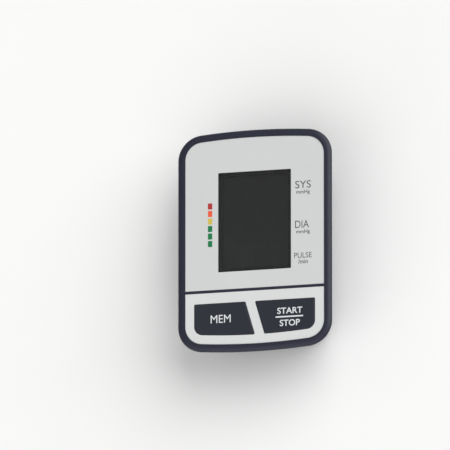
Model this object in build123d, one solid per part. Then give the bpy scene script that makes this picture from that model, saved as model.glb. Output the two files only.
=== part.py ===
from build123d import *
import os
from math import atan2, cos, degrees, radians, sin, sqrt, tan

# Upper arm blood pressure monitor, lying on its back on four rubber feet.
# Millimetres. X to the user's right, Y towards the top of the display, Z up out of the display.
# The origin is on the table, under the middle of the housing.
# The housing's width, length and height follow from the cells, the air pump and the board that it holds.

# Clearances
FIT = 0.1
BODY_GAP = 0.3
RUNNING_FIT = 0.05
RUBBER_FIT = 0.02

# Housing outline, as seen from the front
END_BOW_RADIUS = 392.0
CORNER_RADIUS = 16.0

# Housing walls
WALL = 2.2
FLOOR_THICKNESS = 2.0
DECK_THICKNESS = 1.6
SIDE_TAPER_DEG = 14.8
BEZEL_WIDTH = 4.6
BEZEL_ROLL_WIDTH = 3.2
BEZEL_ROLL_DEPTH = 1.8
DIVIDER_INTO_LIP = 0.4
BOTTOM_EDGE_RADIUS = 5.0
PARTING_OVER_BAY = 2.0
LAP_HEIGHT = 1.6
LAP_SHARE = 0.5
REVEAL_WIDTH = 0.4
REVEAL_HEIGHT = 0.5

# Room from the contents out to the housing's outline
SIDE_ROOM = 17.2
LOWER_END_ROOM = 11.15
UPPER_END_ROOM = 33.7

# Front panels and divider
PANEL_THICKNESS = 1.8
PANEL_RECESS = 0.4
PANEL_EDGE_RADIUS = 0.35
BUTTON_PANEL_LENGTH = 39.05
DIVIDER_WIDTH = 1.5

# Display
WINDOW_WIDTH = 46.0
WINDOW_LENGTH = 62.6
WINDOW_MARGIN = 11.2
WINDOW_THICKNESS = 1.5
WINDOW_LEDGE = 2.0
WINDOW_CORNER = 0.6
WINDOW_CHAMFER = 0.1
GASKET_THICKNESS = 0.4
GASKET_WIDTH = 3.4
LCD_SIDE_BORDER = 2.0
LCD_END_BORDER = 2.2
LCD_THICKNESS = 2.2
LCD_LIFT = 2.6
LCD_SEAL_STEP = 1.0
ZEBRA_WIDTH = 2.2
ZEBRA_INSET = 3.0
HOLDER_WALL = 2.4
HOLDER_CORNER = 1.5
HOLDER_END_BAR = 7.2

# Keys
KEY_TOP_MARGIN = 7.85
KEY_MARGIN = 10.7
KEY_LEAN_DEG = 16.1
KEY_MIDLINE_X = -2.75
KEY_BETWEEN = 6.5
KEY_PROUD = 0.3
KEY_TRAVEL = 1.0
KEY_WALL = 1.6
KEY_EDGE_RADIUS = 0.5
KEY_CORNER = 0.5
KEY_FLANGE = 1.2
KEY_FLANGE_THICKNESS = 1.0
KEY_RIB = 1.0
DOME_BELOW_KEY_TOP = 10.2
PLUNGER_RADIUS = 3.0
DOME_BASE_RADIUS = 6.0
DOME_LIP = 1.5
DOME_SKIN = 0.7
PILL_RADIUS = 1.5
PILL_THICKNESS = 0.7

# Circuit board
BOARD_THICKNESS = 1.6
BOARD_CORNER = 6.0
BOARD_END_MARGIN = 13.0
BOARD_PAST_HOLDER = 0.7
BOARD_EDGE = 5.0
POST_TO_HOLDER = 2.9
POST_BELOW_WINDOW = 5.0
POST_ABOVE_WINDOW = 17.7
BOARD_POST_RADIUS = 2.6
BOARD_SCREW_RADIUS = 1.1
BOARD_SCREW_HEAD_RADIUS = 2.2
BOARD_SCREW_HEAD = 1.5
BOARD_SCREW_LENGTH = 6.0

# Housing screws and their bosses
SCREW_BESIDE_BAY = 1.25
SCREW_BELOW_BAY = 3.8
SCREW_ABOVE_AIR = 9.2
SCREW_RADIUS = 1.2
SCREW_HEAD_RADIUS = 2.3
SCREW_HEAD = 1.8
SCREW_LENGTH = 20.0
SCREW_SLOT_LENGTH = 3.0
SCREW_SLOT_WIDTH = 0.6
BOSS_RADIUS = 3.2
WELL_RADIUS = 2.5
WELL_DEPTH = 8.0
WELL_SHELF = 2.4

# Battery bay and cells
CELL_RADIUS = 7.1
CELL_LENGTH = 50.5
CELL_GAP = 0.2
CELL_COUNT = 4
CELL_EDGE_RADIUS = 0.6
NUB_RADIUS = 2.7
NUB_LENGTH = 1.2
CONTACT_ROOM = 6.5
BAY_SIDE_ROOM = 0.3
BAY_WALL = 2.7
BAY_ROOF = 1.6
BAY_RIB = 1.0
BAY_RIB_LIFT = 0.25
CELL_LIFT = 0.4
CONTACT_THICKNESS = 0.4
CONTACT_WIDTH = 9.0
CONTACT_BELOW = 4.6
CONTACT_ABOVE = 4.0
LEAF_WIDTH = 6.0
LEAF_SPAN = 3.5
LEAF_CREST = 0.8
LEAF_FREE_END = 1.0
TAIL_WIDTH = 2.4

# Battery cover
COVER_THICKNESS = 2.0
COVER_LEDGE = 1.1
COVER_CORNER = 1.0
COVER_TAB_X = 13.0
COVER_TAB_WIDTH = 8.0
COVER_TAB_REACH = 2.0
COVER_TAB_THICKNESS = 1.4
LATCH_WIDTH = 15.0
LATCH_LENGTH = 11.0
LATCH_SLOT = 1.0
GRIP_COUNT = 4
GRIP_PITCH = 1.8
GRIP_MARGIN = 2.0
GRIP_LENGTH = 10.0
GRIP_RADIUS = 0.45
SCOOP_RADIUS = 11.0
SCOOP_DEPTH = 1.1

# Rubber feet
FOOT_RADIUS = 3.7
FOOT_THICKNESS = 2.0
FOOT_PROUD = 1.2
FOOT_EDGE_RADIUS = 0.4
FOOT_SIDE_MARGIN = 20.9
FOOT_END_MARGIN = 20.5

# Sound slots in the floor
SLOT_COUNT = 5
SLOT_PITCH = 3.0
SLOT_LENGTH = 10.0
SLOT_WIDTH = 1.3
SLOT_END_MARGIN = 22.0

# Air pump, lying along X in the lower end of the housing
PUMP_X = -1.0
PUMP_TO_BAY = 0.45
MOTOR_RADIUS = 12.0
MOTOR_LENGTH = 27.0
MOTOR_EDGE = 0.5
MOTOR_CAP_STEP = 1.6
MOTOR_CAP_LENGTH = 2.4
TERMINAL_LENGTH = 1.2
TERMINAL_WIDTH = 1.6
TERMINAL_HEIGHT = 3.0
TERMINAL_APART = 10.0
MOTOR_NECK_RADIUS = 3.0
MOTOR_NECK_LENGTH = 1.4
MOUNT_RING = 0.85
MOUNT_RING_WIDTH = 4.0
MOUNT_RING_XS = (7.0, 21.0)
SADDLE_WIDTH = 2.0
PAD_THICKNESS = 3.25
PAD_WIDTH = 9.0
PAD_LENGTH = 12.0
HEAD_STEP = 0.2
HEAD_EDGE_RADIUS = 1.0
CRANKCASE_LENGTH = 14.0
CRANKCASE_WALL = 1.4
DIAPHRAGM_LENGTH = 1.6
CUP_RADIUS = 3.2
CUP_HEIGHT = 1.2
CUP_EDGE = 3.6
CUP_COUNT = 3
CHAMBER_FLOOR = 1.6
VALVE_BODY_LENGTH = 4.0
PUMP_COVER_LENGTH = 4.0
SHAFT_RADIUS = 1.0
SHAFT_INSIDE = 6.0
SHAFT_OUTSIDE = 3.0
CRANK_RADIUS = 5.0
CRANK_LENGTH = 5.4
WOBBLE_ROOM = 2.8
WOBBLE_THICKNESS = 1.6
WOBBLE_PIVOT = 4.2
WOBBLE_TILT_DEG = 8.0
WOBBLE_STEM_RADIUS = 1.1

# Air line
BARB_RADIUS = 2.0
BARB_LENGTH = 3.2
BARB_HOLE = 0.8
BARB_APART = 0.9
TUBE_RADIUS = 2.9
TUBE_BORE = 2.05
SOCKET_RADIUS = 5.0
SOCKET_SINK = 0.15
SOCKET_SEAT_DEPTH = 3.4
SOCKET_COLLAR_STEP = 0.6
SOCKET_COLLAR = 1.6
SOCKET_END_WALL = 1.2
SOCKET_BOSS_WALL = 1.3
AIR_BORE_RADIUS = 2.4
AIR_BORE_LENGTH = 12.0
MANIFOLD_RADIUS = 3.2
MANIFOLD_END_WALL = 1.5
PORT_MARGIN = 2.5
PORT_PITCH = 8.0
PORT_LENGTH = 4.5
PORT_TO_SENSOR = 2.2
BLEED_WALL = 1.15
BLEED_TIP = 3.0
BLEED_EDGE_RADIUS = 1.2
PUMP_TUBE_DROP = 5.6
PUMP_TUBE_TURN = 3.4
PUMP_TUBE_BEND = 8.0
PUMP_TUBE_SIDE_GAP = 0.4
ARC_SHARE = 0.45

# Exhaust valve, standing on the floor
VALVE_TO_BAY = 0.6
VALVE_REACH = 15.0
VALVE_SIZE = 12.0
VALVE_TOP_ROOM = 2.2
YOKE_THICKNESS = 1.2
COIL_RADIUS = 4.6
COIL_FLANGE = 0.8
VALVE_BORE_RADIUS = 2.5
VALVE_TRAVEL = 0.8
PLUNGER_LENGTH = 12.0
PLUNGER_RISE = 0.6
NOZZLE_RADIUS = 5.0
NOZZLE_LENGTH = 7.0
VALVE_PORT_DROP = 2.4
VALVE_TIP_RADIUS = 1.6
VALVE_TIP_LENGTH = 0.8
VALVE_RIB = 1.2
VALVE_RIB_HEIGHT = 6.0

# Mains adaptor socket
DC_BORE_RADIUS = 3.15
DC_BARREL_RADIUS = 4.0
DC_BLOCK = 9.6
DC_DEPTH = 13.0
DC_PIN_RADIUS = 1.05
DC_PIN_LENGTH = 9.0
DC_PIN_SINK = 1.0

# Parts under the circuit board
CHIP_SIZE = 10.0
MEMORY_SIZE = 5.0
CHIP_HEIGHT = 1.4
CHIP_ROW_Y = 4.0
MEMORY_X = 14.0
CRYSTAL_X = -12.0
CRYSTAL_WIDTH = 3.0
CRYSTAL_LENGTH = 8.0
CAPACITOR_X = -18.0
CAPACITOR_Y = -10.0
CAPACITOR_RADIUS = 3.2
CAPACITOR_HEIGHT = 7.0
BUZZER_X = 20.0
BUZZER_Y = -12.0
BUZZER_RADIUS = 6.0
BUZZER_HEIGHT = 6.0
SENSOR_SIZE = 8.0
SENSOR_HEIGHT = 5.0
LEAD_RADIUS = 0.7
LEAD_RUN = 3.4
LEAD_APART = 4.0

# Heights, from the table up
FLOOR_Z = FOOT_PROUD
FLOOR_TOP = FLOOR_Z + FLOOR_THICKNESS
COVER_TOP = FLOOR_Z + COVER_THICKNESS
LEDGE_Z = COVER_TOP + BODY_GAP
CELL_Z = LEDGE_Z + CELL_LIFT + CELL_RADIUS
CONTACT_LOW_Z = CELL_Z - CONTACT_BELOW
CONTACT_HIGH_Z = CELL_Z + CONTACT_ABOVE
BAY_ROOF_Z = CELL_Z + CELL_RADIUS + BAY_SIDE_ROOM
BAY_TOP_Z = BAY_ROOF_Z + BAY_ROOF
PARTING_Z = BAY_TOP_Z + PARTING_OVER_BAY
PUMP_Z = FLOOR_TOP + FIT + MOUNT_RING + MOTOR_RADIUS
BOARD_Z = PUMP_Z + MOTOR_RADIUS + PAD_THICKNESS
BOARD_TOP = BOARD_Z + BOARD_THICKNESS
LCD_Z = BOARD_TOP + LCD_LIFT
LCD_TOP = LCD_Z + LCD_THICKNESS
DECK_Z = LCD_TOP + GASKET_THICKNESS
DECK_TOP = DECK_Z + DECK_THICKNESS
PANEL_TOP = DECK_TOP + PANEL_THICKNESS
TOTAL_HEIGHT = PANEL_TOP + PANEL_RECESS
KEY_TOP_Z = PANEL_TOP + KEY_PROUD
KEY_FLANGE_TOP = DECK_Z - BODY_GAP
KEY_FLANGE_Z = KEY_FLANGE_TOP - KEY_FLANGE_THICKNESS
DOME_TOP = BOARD_TOP + KEY_TRAVEL + BODY_GAP + PILL_THICKNESS + FIT + DOME_SKIN
PLUNGER_Z = DOME_TOP + BODY_GAP
SCREW_SHELF_Z = FLOOR_Z + WELL_DEPTH
SENSOR_BARB_Z = BOARD_Z - SENSOR_HEIGHT - PORT_LENGTH
AIR_Z = SENSOR_BARB_Z - PORT_TO_SENSOR - PORT_LENGTH - MANIFOLD_RADIUS
PORT_TOP = AIR_Z + MANIFOLD_RADIUS + PORT_LENGTH
PUMP_TUBE_Z = BOARD_Z - PUMP_TUBE_DROP
VALVE_TOP_Z = BOARD_Z - VALVE_TOP_ROOM - NOZZLE_LENGTH
VALVE_PORT_Z = VALVE_TOP_Z + NOZZLE_LENGTH - VALVE_PORT_DROP

# Housing width and length, from what lies inside
CELL_PITCH = 2 * CELL_RADIUS + CELL_GAP
BAY_HALF_X = (CELL_COUNT - 1) * CELL_PITCH / 2 + CELL_RADIUS + BAY_SIDE_ROOM / 2
BAY_LENGTH = CELL_LENGTH + CONTACT_ROOM
FACE_WIDTH = 2 * (BAY_HALF_X + BAY_WALL + SIDE_ROOM)
PUMP_ROOM = 2 * (MOTOR_RADIUS + MOUNT_RING) + PUMP_TO_BAY
AIR_ROOM = VALVE_TO_BAY + VALVE_SIZE / 2
FACE_LENGTH = LOWER_END_ROOM + PUMP_ROOM + BAY_LENGTH + 2 * BAY_WALL + AIR_ROOM + UPPER_END_ROOM
HALF_LENGTH = FACE_LENGTH / 2

# Places along the housing, from its lower end to its upper end
PUMP_Y = LOWER_END_ROOM + MOTOR_RADIUS + MOUNT_RING - HALF_LENGTH
BAY_LOW_Y = LOWER_END_ROOM + PUMP_ROOM + BAY_WALL - HALF_LENGTH
BAY_HIGH_Y = BAY_LOW_Y + BAY_LENGTH
AIR_Y = BAY_HIGH_Y + BAY_WALL + AIR_ROOM
DIVIDER_Y = BUTTON_PANEL_LENGTH - HALF_LENGTH
WINDOW_Y = DIVIDER_Y + DIVIDER_WIDTH / 2 + WINDOW_MARGIN + WINDOW_LENGTH / 2
KEY_TOP_Y = DIVIDER_Y - KEY_TOP_MARGIN
KEY_DOME_Y = KEY_TOP_Y - DOME_BELOW_KEY_TOP
OPENING_X = BAY_HALF_X + COVER_LEDGE
OPENING_LOW_Y = BAY_LOW_Y - COVER_LEDGE
OPENING_HIGH_Y = BAY_HIGH_Y + COVER_LEDGE
LCD_WIDTH = WINDOW_WIDTH + 2 * LCD_SIDE_BORDER
LCD_LENGTH = WINDOW_LENGTH + 2 * LCD_END_BORDER
BOARD_POST_X = LCD_WIDTH / 2 + HOLDER_WALL + FIT + POST_TO_HOLDER + BOARD_POST_RADIUS - FIT
BOARD_HALF_X = BOARD_POST_X + BOARD_EDGE
BOARD_TOP_Y = WINDOW_Y + LCD_LENGTH / 2 + HOLDER_WALL + BOARD_PAST_HOLDER + FIT
BOARD_BOTTOM_Y = BOARD_END_MARGIN - HALF_LENGTH
SCREW_X = BAY_HALF_X + BAY_WALL + SCREW_BESIDE_BAY
KEY_DOME_X = (FACE_WIDTH / 2 - KEY_MARGIN + KEY_BETWEEN / 2) / 2

# Taper of the sides, which meets the roll of the bezel without a step
TAPER = tan(radians(SIDE_TAPER_DEG))
ROLL_END = atan2(BEZEL_ROLL_DEPTH * TAPER, BEZEL_ROLL_WIDTH)
ROLL_END_INSET = BEZEL_ROLL_WIDTH * (1 - cos(ROLL_END))
ROLL_END_Z = TOTAL_HEIGHT - BEZEL_ROLL_DEPTH * (1 + sin(ROLL_END))


def side_inset(z):
    """How far the tapered side lies inside the face outline at height z."""
    return ROLL_END_INSET + (ROLL_END_Z - z) * TAPER


# Places across the housing that follow its tapered side
SOCKET_FACE_X = FACE_WIDTH / 2 - side_inset(AIR_Z - SOCKET_RADIUS) - SOCKET_SINK
SOCKET_SEAT_X = SOCKET_FACE_X - SOCKET_SEAT_DEPTH
SOCKET_TAIL_X = AIR_BORE_LENGTH + SOCKET_END_WALL - SOCKET_FACE_X
SOCKET_BARB_X = SOCKET_TAIL_X + BARB_LENGTH
MANIFOLD_LEFT_X = SOCKET_BARB_X + BARB_APART + BARB_LENGTH
PUMP_PORT_X = MANIFOLD_LEFT_X + PORT_MARGIN
SENSOR_PORT_X = PUMP_PORT_X + PORT_PITCH
VALVE_PORT_X = SENSOR_PORT_X + PORT_PITCH
MANIFOLD_RIGHT_X = VALVE_PORT_X + PORT_MARGIN
VALVE_X = VALVE_PORT_X + VALVE_REACH
PUMP_TUBE_INSET = side_inset(PUMP_TUBE_Z) + WALL + TUBE_RADIUS + PUMP_TUBE_SIDE_GAP
PUMP_TUBE_X = PUMP_TUBE_INSET - FACE_WIDTH / 2

# Places along the pump, from the motor's front end to the outlet
DIAPHRAGM_X = PUMP_X - CRANKCASE_LENGTH
VALVE_BODY_X = DIAPHRAGM_X - DIAPHRAGM_LENGTH
PUMP_COVER_X = VALVE_BODY_X - VALVE_BODY_LENGTH
PUMP_END_X = PUMP_COVER_X - PUMP_COVER_LENGTH
CRANK_X = PUMP_X - MOTOR_NECK_LENGTH - BODY_GAP
HEAD_RADIUS = MOTOR_RADIUS + HEAD_STEP
WOBBLE_RADIUS = HEAD_RADIUS - CRANKCASE_WALL - WOBBLE_ROOM
CUP_CIRCLE = HEAD_RADIUS - CUP_EDGE - CUP_RADIUS
PIVOT_X = DIAPHRAGM_X + WOBBLE_PIVOT


def outline_edges(inset, corner=None):
    """Face outline moved inwards: straight sides, bowed ends and round corners, from the right side round."""
    corner = CORNER_RADIUS - inset if corner is None else corner
    half_x = FACE_WIDTH / 2 - inset
    bow = END_BOW_RADIUS - inset
    bow_y = HALF_LENGTH - END_BOW_RADIUS
    cx = half_x - corner
    cy = bow_y + sqrt((bow - corner) ** 2 - cx**2)
    end_x = cx * bow / (bow - corner)
    end_y = bow_y + (cy - bow_y) * bow / (bow - corner)
    turn = atan2(cy - bow_y, cx) / 2
    mid_x = cx + corner * cos(turn)
    mid_y = cy + corner * sin(turn)
    apex = (0, bow_y + bow)
    return [
        Line((half_x, -cy), (half_x, cy)),
        ThreePointArc((half_x, cy), (mid_x, mid_y), (end_x, end_y)),
        ThreePointArc((end_x, end_y), apex, (-end_x, end_y)),
        ThreePointArc((-end_x, end_y), (-mid_x, mid_y), (-half_x, cy)),
        Line((-half_x, cy), (-half_x, -cy)),
        ThreePointArc((-half_x, -cy), (-mid_x, -mid_y), (-end_x, -end_y)),
        ThreePointArc((-end_x, -end_y), (0, -apex[1]), (end_x, -end_y)),
        ThreePointArc((end_x, -end_y), (mid_x, -mid_y), (half_x, -cy)),
    ]


def outline_face(inset, z=0.0, corner=None):
    """The face outline as a flat face at height z."""
    return Pos(0, 0, z) * make_face(outline_edges(inset, corner))


def slab(face, low, high):
    """A flat face of the XY plane as a solid between two heights."""
    return Pos(0, 0, low) * extrude(face, high - low)


def box(x0, x1, y0, y1, z0, z1):
    """A block between two corners."""
    return Pos((x0 + x1) / 2, (y0 + y1) / 2, (z0 + z1) / 2) * Box(x1 - x0, y1 - y0, z1 - z0)


def rod_z(x, y, radius, z0, z1):
    """A round bar along Z."""
    return Pos(x, y, (z0 + z1) / 2) * Cylinder(radius, abs(z1 - z0))


def rod_x(y, z, radius, x0, x1):
    """A round bar along X."""
    return Pos((x0 + x1) / 2, y, z) * Rot(0, 90, 0) * Cylinder(radius, abs(x1 - x0))


def rod_y(x, z, radius, y0, y1):
    """A round bar along Y."""
    return Pos(x, (y0 + y1) / 2, z) * Rot(90, 0, 0) * Cylinder(radius, abs(y1 - y0))


def swept_ring(profile_edges):
    """Carries a wall profile, drawn as inset and height, round the whole face outline."""
    edges = outline_edges(0)
    start = edges[0] @ 0
    plane = Plane(origin=(0, start.Y, 0), x_dir=(1, 0, 0), z_dir=(0, -1, 0))
    return sweep(plane * make_face(profile_edges), path=Wire(edges))


def wall_points(pairs):
    """Turns (inset, height) pairs into points of the profile plane."""
    return [(FACE_WIDTH / 2 - inset, z) for inset, z in pairs]


def screw_places():
    """Centres of the four housing screws: two below the battery bay, two above the air line."""
    ys = (BAY_LOW_Y - SCREW_BELOW_BAY, AIR_Y + SCREW_ABOVE_AIR)
    return [(side * SCREW_X, y) for y in ys for side in (-1, 1)]


def board_post_places():
    """Centres of the four circuit board posts, clear of the display holder."""
    ys = (WINDOW_Y - WINDOW_LENGTH / 2 - POST_BELOW_WINDOW, WINDOW_Y + POST_ABOVE_WINDOW)
    return [(side * BOARD_POST_X, y) for y in ys for side in (-1, 1)]


def foot_places():
    """Centres of the four rubber feet."""
    x = FACE_WIDTH / 2 - FOOT_SIDE_MARGIN
    y = HALF_LENGTH - FOOT_END_MARGIN
    return [(sx * x, sy * y) for sx in (-1, 1) for sy in (-1, 1)]


def window_rectangle(grow, corner=WINDOW_CORNER):
    """The display window's outline, made larger by grow on every side."""
    return Pos(0, WINDOW_Y) * RectangleRounded(WINDOW_WIDTH + 2 * grow, WINDOW_LENGTH + 2 * grow, corner)


def key_outline(side, grow=0.0):
    """One key: the housing's own outline moved in, cut by a slanted inner edge and a straight top."""
    top = KEY_TOP_Y + grow
    low = -HALF_LENGTH
    outer = side * FACE_WIDTH / 2
    inner_top = inner_line_x(side, grow, top)
    inner_low = inner_line_x(side, grow, low)
    cutter = make_face(Polyline((inner_top, top), (outer, top), (outer, low), (inner_low, low), close=True))
    face = make_face(outline_edges(KEY_MARGIN - grow)) & cutter
    near = RUBBER_FIT
    at_top = [v for v in face.vertices() if abs(v.Y - top) < near]
    at_inner = [v for v in face.vertices() if abs(v.X - inner_line_x(side, grow, v.Y)) < near]
    low_inner = [v for v in at_inner if abs(v.Y - top) >= near]
    return fillet(at_top + low_inner, KEY_CORNER + max(grow, 0))


def inner_line_x(side, grow, y):
    """Where a key's slanted inner edge lies at height y of the face."""
    grow_x = grow / cos(radians(KEY_LEAN_DEG))
    return KEY_MIDLINE_X + side * (KEY_BETWEEN / 2 - grow_x) - (y - KEY_TOP_Y) * tan(radians(KEY_LEAN_DEG))


def side_face(inwards, z):
    """The tapered side's outline at height z, moved inwards. Its corners are as round at every height."""
    return outline_face(side_inset(z) + inwards, z, CORNER_RADIUS - ROLL_END_INSET - inwards)


def side_block(inwards, low, high):
    """Tapered block between two heights: the housing's outer form, moved inwards."""
    return loft([side_face(inwards, low), side_face(inwards, high)], ruled=True)


def bezel_ring():
    """Rounded rim of the face, from the top of the tapered side in to the panels."""
    centre = (FACE_WIDTH / 2 - BEZEL_ROLL_WIDTH, TOTAL_HEIGHT - BEZEL_ROLL_DEPTH)
    below, above = [
        EllipticalCenterArc(centre, BEZEL_ROLL_WIDTH, BEZEL_ROLL_DEPTH, start_angle=start, arc_size=size)
        for start, size in ((-degrees(ROLL_END), degrees(ROLL_END)), (0, 90))
    ]
    rest = wall_points([(BEZEL_WIDTH, TOTAL_HEIGHT), (BEZEL_WIDTH, ROLL_END_Z)])
    return swept_ring([below, above, Polyline(above @ 1, *rest, below @ 0)])


def upper_form():
    """Bezel, deck and tapered wall of the upper shell, with the lap step and the reveal at its rim."""
    reveal_z = PARTING_Z + REVEAL_HEIGHT
    form = side_block(0, reveal_z, ROLL_END_Z) + side_block(REVEAL_WIDTH, PARTING_Z, reveal_z)
    form += bezel_ring()
    form += slab(outline_face(BEZEL_WIDTH), ROLL_END_Z, TOTAL_HEIGHT)
    form -= slab(outline_face(BEZEL_WIDTH), DECK_TOP, TOTAL_HEIGHT)
    form -= side_block(WALL, PARTING_Z, DECK_Z)
    return form - side_block(WALL * LAP_SHARE - FIT / 2, PARTING_Z, PARTING_Z + LAP_HEIGHT + FIT)


def make_upper_shell():
    """Frame with bezel, deck, divider, display and key openings, screw bosses and board posts."""
    shell = upper_form()
    divider_face = make_face(outline_edges(BEZEL_WIDTH - DIVIDER_INTO_LIP))
    strip = Pos(0, DIVIDER_Y) * Rectangle(FACE_WIDTH, DIVIDER_WIDTH)
    shell += slab(divider_face & strip, DECK_TOP, PANEL_TOP)
    for x, y in screw_places():
        shell += rod_z(x, y, BOSS_RADIUS, PARTING_Z, DECK_Z)
        pilot_top = SCREW_SHELF_Z + SCREW_LENGTH + BODY_GAP
        shell -= rod_z(x, y, SCREW_RADIUS + RUNNING_FIT / 2, PARTING_Z, pilot_top)
    for x, y in board_post_places():
        shell += rod_z(x, y, BOARD_POST_RADIUS, BOARD_TOP, DECK_Z)
        pilot = BOARD_SCREW_LENGTH - BOARD_THICKNESS + FIT
        shell -= rod_z(x, y, BOARD_SCREW_RADIUS + RUNNING_FIT / 2, BOARD_TOP, BOARD_TOP + pilot)
    shell -= slab(window_rectangle(-WINDOW_LEDGE), DECK_Z, DECK_TOP)
    for side in (-1, 1):
        shell -= slab(key_outline(side, BODY_GAP), DECK_Z, DECK_TOP)
    return shell


def lower_block(inwards, low):
    """Lower housing's outer form with its round bottom edge, moved inwards."""
    block = side_block(inwards, low, PARTING_Z)
    return fillet(block.faces().sort_by(Axis.Z)[0].edges(), BOTTOM_EDGE_RADIUS - inwards)


def lap_tongue():
    """Thin ring on the lower shell's rim that the upper shell laps over."""
    high = PARTING_Z + LAP_HEIGHT
    return side_block(WALL * LAP_SHARE + FIT / 2, PARTING_Z, high) - side_block(WALL, PARTING_Z, high)


def bay_walls():
    """Battery bay: four walls and a roof with low ribs between the cells."""
    outer_x = BAY_HALF_X + BAY_WALL
    bay = box(-outer_x, outer_x, BAY_LOW_Y - BAY_WALL, BAY_HIGH_Y + BAY_WALL, FLOOR_Z, BAY_TOP_Z)
    bay -= box(-BAY_HALF_X, BAY_HALF_X, BAY_LOW_Y, BAY_HIGH_Y, FLOOR_Z, BAY_ROOF_Z)
    half = BAY_RIB / 2
    for i in range(1, CELL_COUNT):
        x = (i - CELL_COUNT / 2) * CELL_PITCH
        bay += box(x - half, x + half, BAY_LOW_Y, BAY_HIGH_Y, CONTACT_HIGH_Z + BAY_RIB_LIFT, BAY_ROOF_Z)
    return bay


def pump_saddles():
    """Two ribs with round seats that carry the pump's rubber rings."""
    ribs = Part()
    seat = MOTOR_RADIUS + MOUNT_RING + RUNNING_FIT
    half = SADDLE_WIDTH / 2
    top = PUMP_Z - MOTOR_RADIUS / 3
    for x in MOUNT_RING_XS:
        mid = PUMP_X + x
        rib = box(mid - half, mid + half, -HALF_LENGTH, BAY_LOW_Y - BAY_WALL / 2, FLOOR_Z, top)
        ribs += rib - rod_x(PUMP_Y, PUMP_Z, seat, mid - SADDLE_WIDTH, mid + SADDLE_WIDTH)
    return ribs


def valve_pocket():
    """Low walls on the floor that locate the exhaust valve."""
    inner = VALVE_SIZE / 2 + FIT
    outer = inner + VALVE_RIB
    top = FLOOR_TOP + VALVE_RIB_HEIGHT
    pocket = box(VALVE_X - outer, VALVE_X + outer, AIR_Y - outer, AIR_Y + outer, FLOOR_TOP - FIT, top)
    return pocket - box(VALVE_X - inner, VALVE_X + inner, AIR_Y - inner, AIR_Y + inner, FLOOR_TOP, top)


def socket_boss(side, radius):
    """Round wall behind a side socket, with its flat inner seat."""
    return rod_x(AIR_Y, AIR_Z, radius + FIT + SOCKET_BOSS_WALL, side * SOCKET_SEAT_X, side * FACE_WIDTH / 2)


def make_lower_shell():
    """Tray with floor, tapered walls, battery bay, screw posts, pump seats and side socket holes."""
    shell = lower_block(0, FLOOR_Z) - lower_block(WALL, FLOOR_TOP) + lap_tongue()
    inner = bay_walls() + pump_saddles() + valve_pocket()
    for x, y in screw_places():
        inner += rod_z(x, y, BOSS_RADIUS, FLOOR_Z, PARTING_Z)
    for side, radius in ((-1, SOCKET_RADIUS), (1, DC_BARREL_RADIUS)):
        inner += socket_boss(side, radius)
    shell += inner & lower_block(WALL / 2, FLOOR_Z + FLOOR_THICKNESS / 2)
    for x, y in screw_places():
        shelf_top = SCREW_SHELF_Z + WELL_SHELF
        shell -= rod_z(x, y, WELL_RADIUS, FLOOR_Z, SCREW_SHELF_Z)
        shell -= rod_z(x, y, SCREW_RADIUS + FIT, SCREW_SHELF_Z, shelf_top)
        shell -= rod_z(x, y, SCREW_RADIUS + BODY_GAP, shelf_top, PARTING_Z)
    for side, radius in ((-1, SOCKET_RADIUS), (1, DC_BARREL_RADIUS)):
        shell -= rod_x(AIR_Y, AIR_Z, radius + FIT, side * (SOCKET_SEAT_X - WALL / 2), side * FACE_WIDTH / 2)
        shell -= rod_x(AIR_Y, AIR_Z, radius + FIT, side * (SOCKET_SEAT_X - WALL / 2), side * SOCKET_SEAT_X)
    shell -= box(-OPENING_X, OPENING_X, OPENING_LOW_Y, OPENING_HIGH_Y, FLOOR_Z, LEDGE_Z)
    shell -= box(-BAY_HALF_X, BAY_HALF_X, BAY_LOW_Y, BAY_HIGH_Y, LEDGE_Z, BAY_ROOF_Z / 2)
    for side in (-1, 1):
        shell -= hook_slot(side)
    for x, y in foot_places():
        shell -= rod_z(x, y, FOOT_RADIUS + FIT, FLOOR_Z, FLOOR_Z + FOOT_THICKNESS - FOOT_PROUD)
    for i in range(SLOT_COUNT):
        y = HALF_LENGTH - SLOT_END_MARGIN + (i - (SLOT_COUNT - 1) / 2) * SLOT_PITCH
        shell -= slab(Pos(0, y) * SlotOverall(SLOT_LENGTH, SLOT_WIDTH), FLOOR_Z, FLOOR_TOP)
    half = TAIL_WIDTH / 2 + FIT
    for x in terminal_places():
        low = BAY_HIGH_Y - CONTACT_THICKNESS - FIT * 2
        shell -= box(x - half, x + half, low, BAY_HIGH_Y, BAY_ROOF_Z, BAY_TOP_Z)
    return shell - thumb_scoop()


def hook_slot(side):
    """Slot through the bay's lower end wall that a cover tab swings in."""
    half = COVER_TAB_WIDTH / 2 + BODY_GAP
    x = side * COVER_TAB_X
    return box(x - half, x + half, BAY_LOW_Y - BAY_WALL, BAY_LOW_Y, LEDGE_Z - BODY_GAP, CONTACT_LOW_Z - FIT)


def thumb_scoop():
    """Shallow round hollow in the floor beside the cover's latch."""
    ball = Pos(0, OPENING_HIGH_Y, FLOOR_Z + SCOOP_DEPTH - SCOOP_RADIUS) * Sphere(SCOOP_RADIUS)
    reach = SCOOP_RADIUS
    return ball & box(-reach, reach, OPENING_HIGH_Y, OPENING_HIGH_Y + reach, FLOOR_Z - reach, FLOOR_TOP)


def make_display_panel():
    """Light plate round the window, seated on the deck inside the bezel."""
    face = make_face(outline_edges(BEZEL_WIDTH + FIT))
    low = DIVIDER_Y + DIVIDER_WIDTH / 2 + FIT
    face &= Pos(0, low + HALF_LENGTH) * Rectangle(FACE_WIDTH, FACE_LENGTH)
    panel = slab(face, DECK_TOP, PANEL_TOP)
    panel = fillet(panel.faces().sort_by(Axis.Z)[-1].edges(), PANEL_EDGE_RADIUS)
    return panel - slab(window_rectangle(FIT), DECK_TOP, PANEL_TOP)


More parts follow.
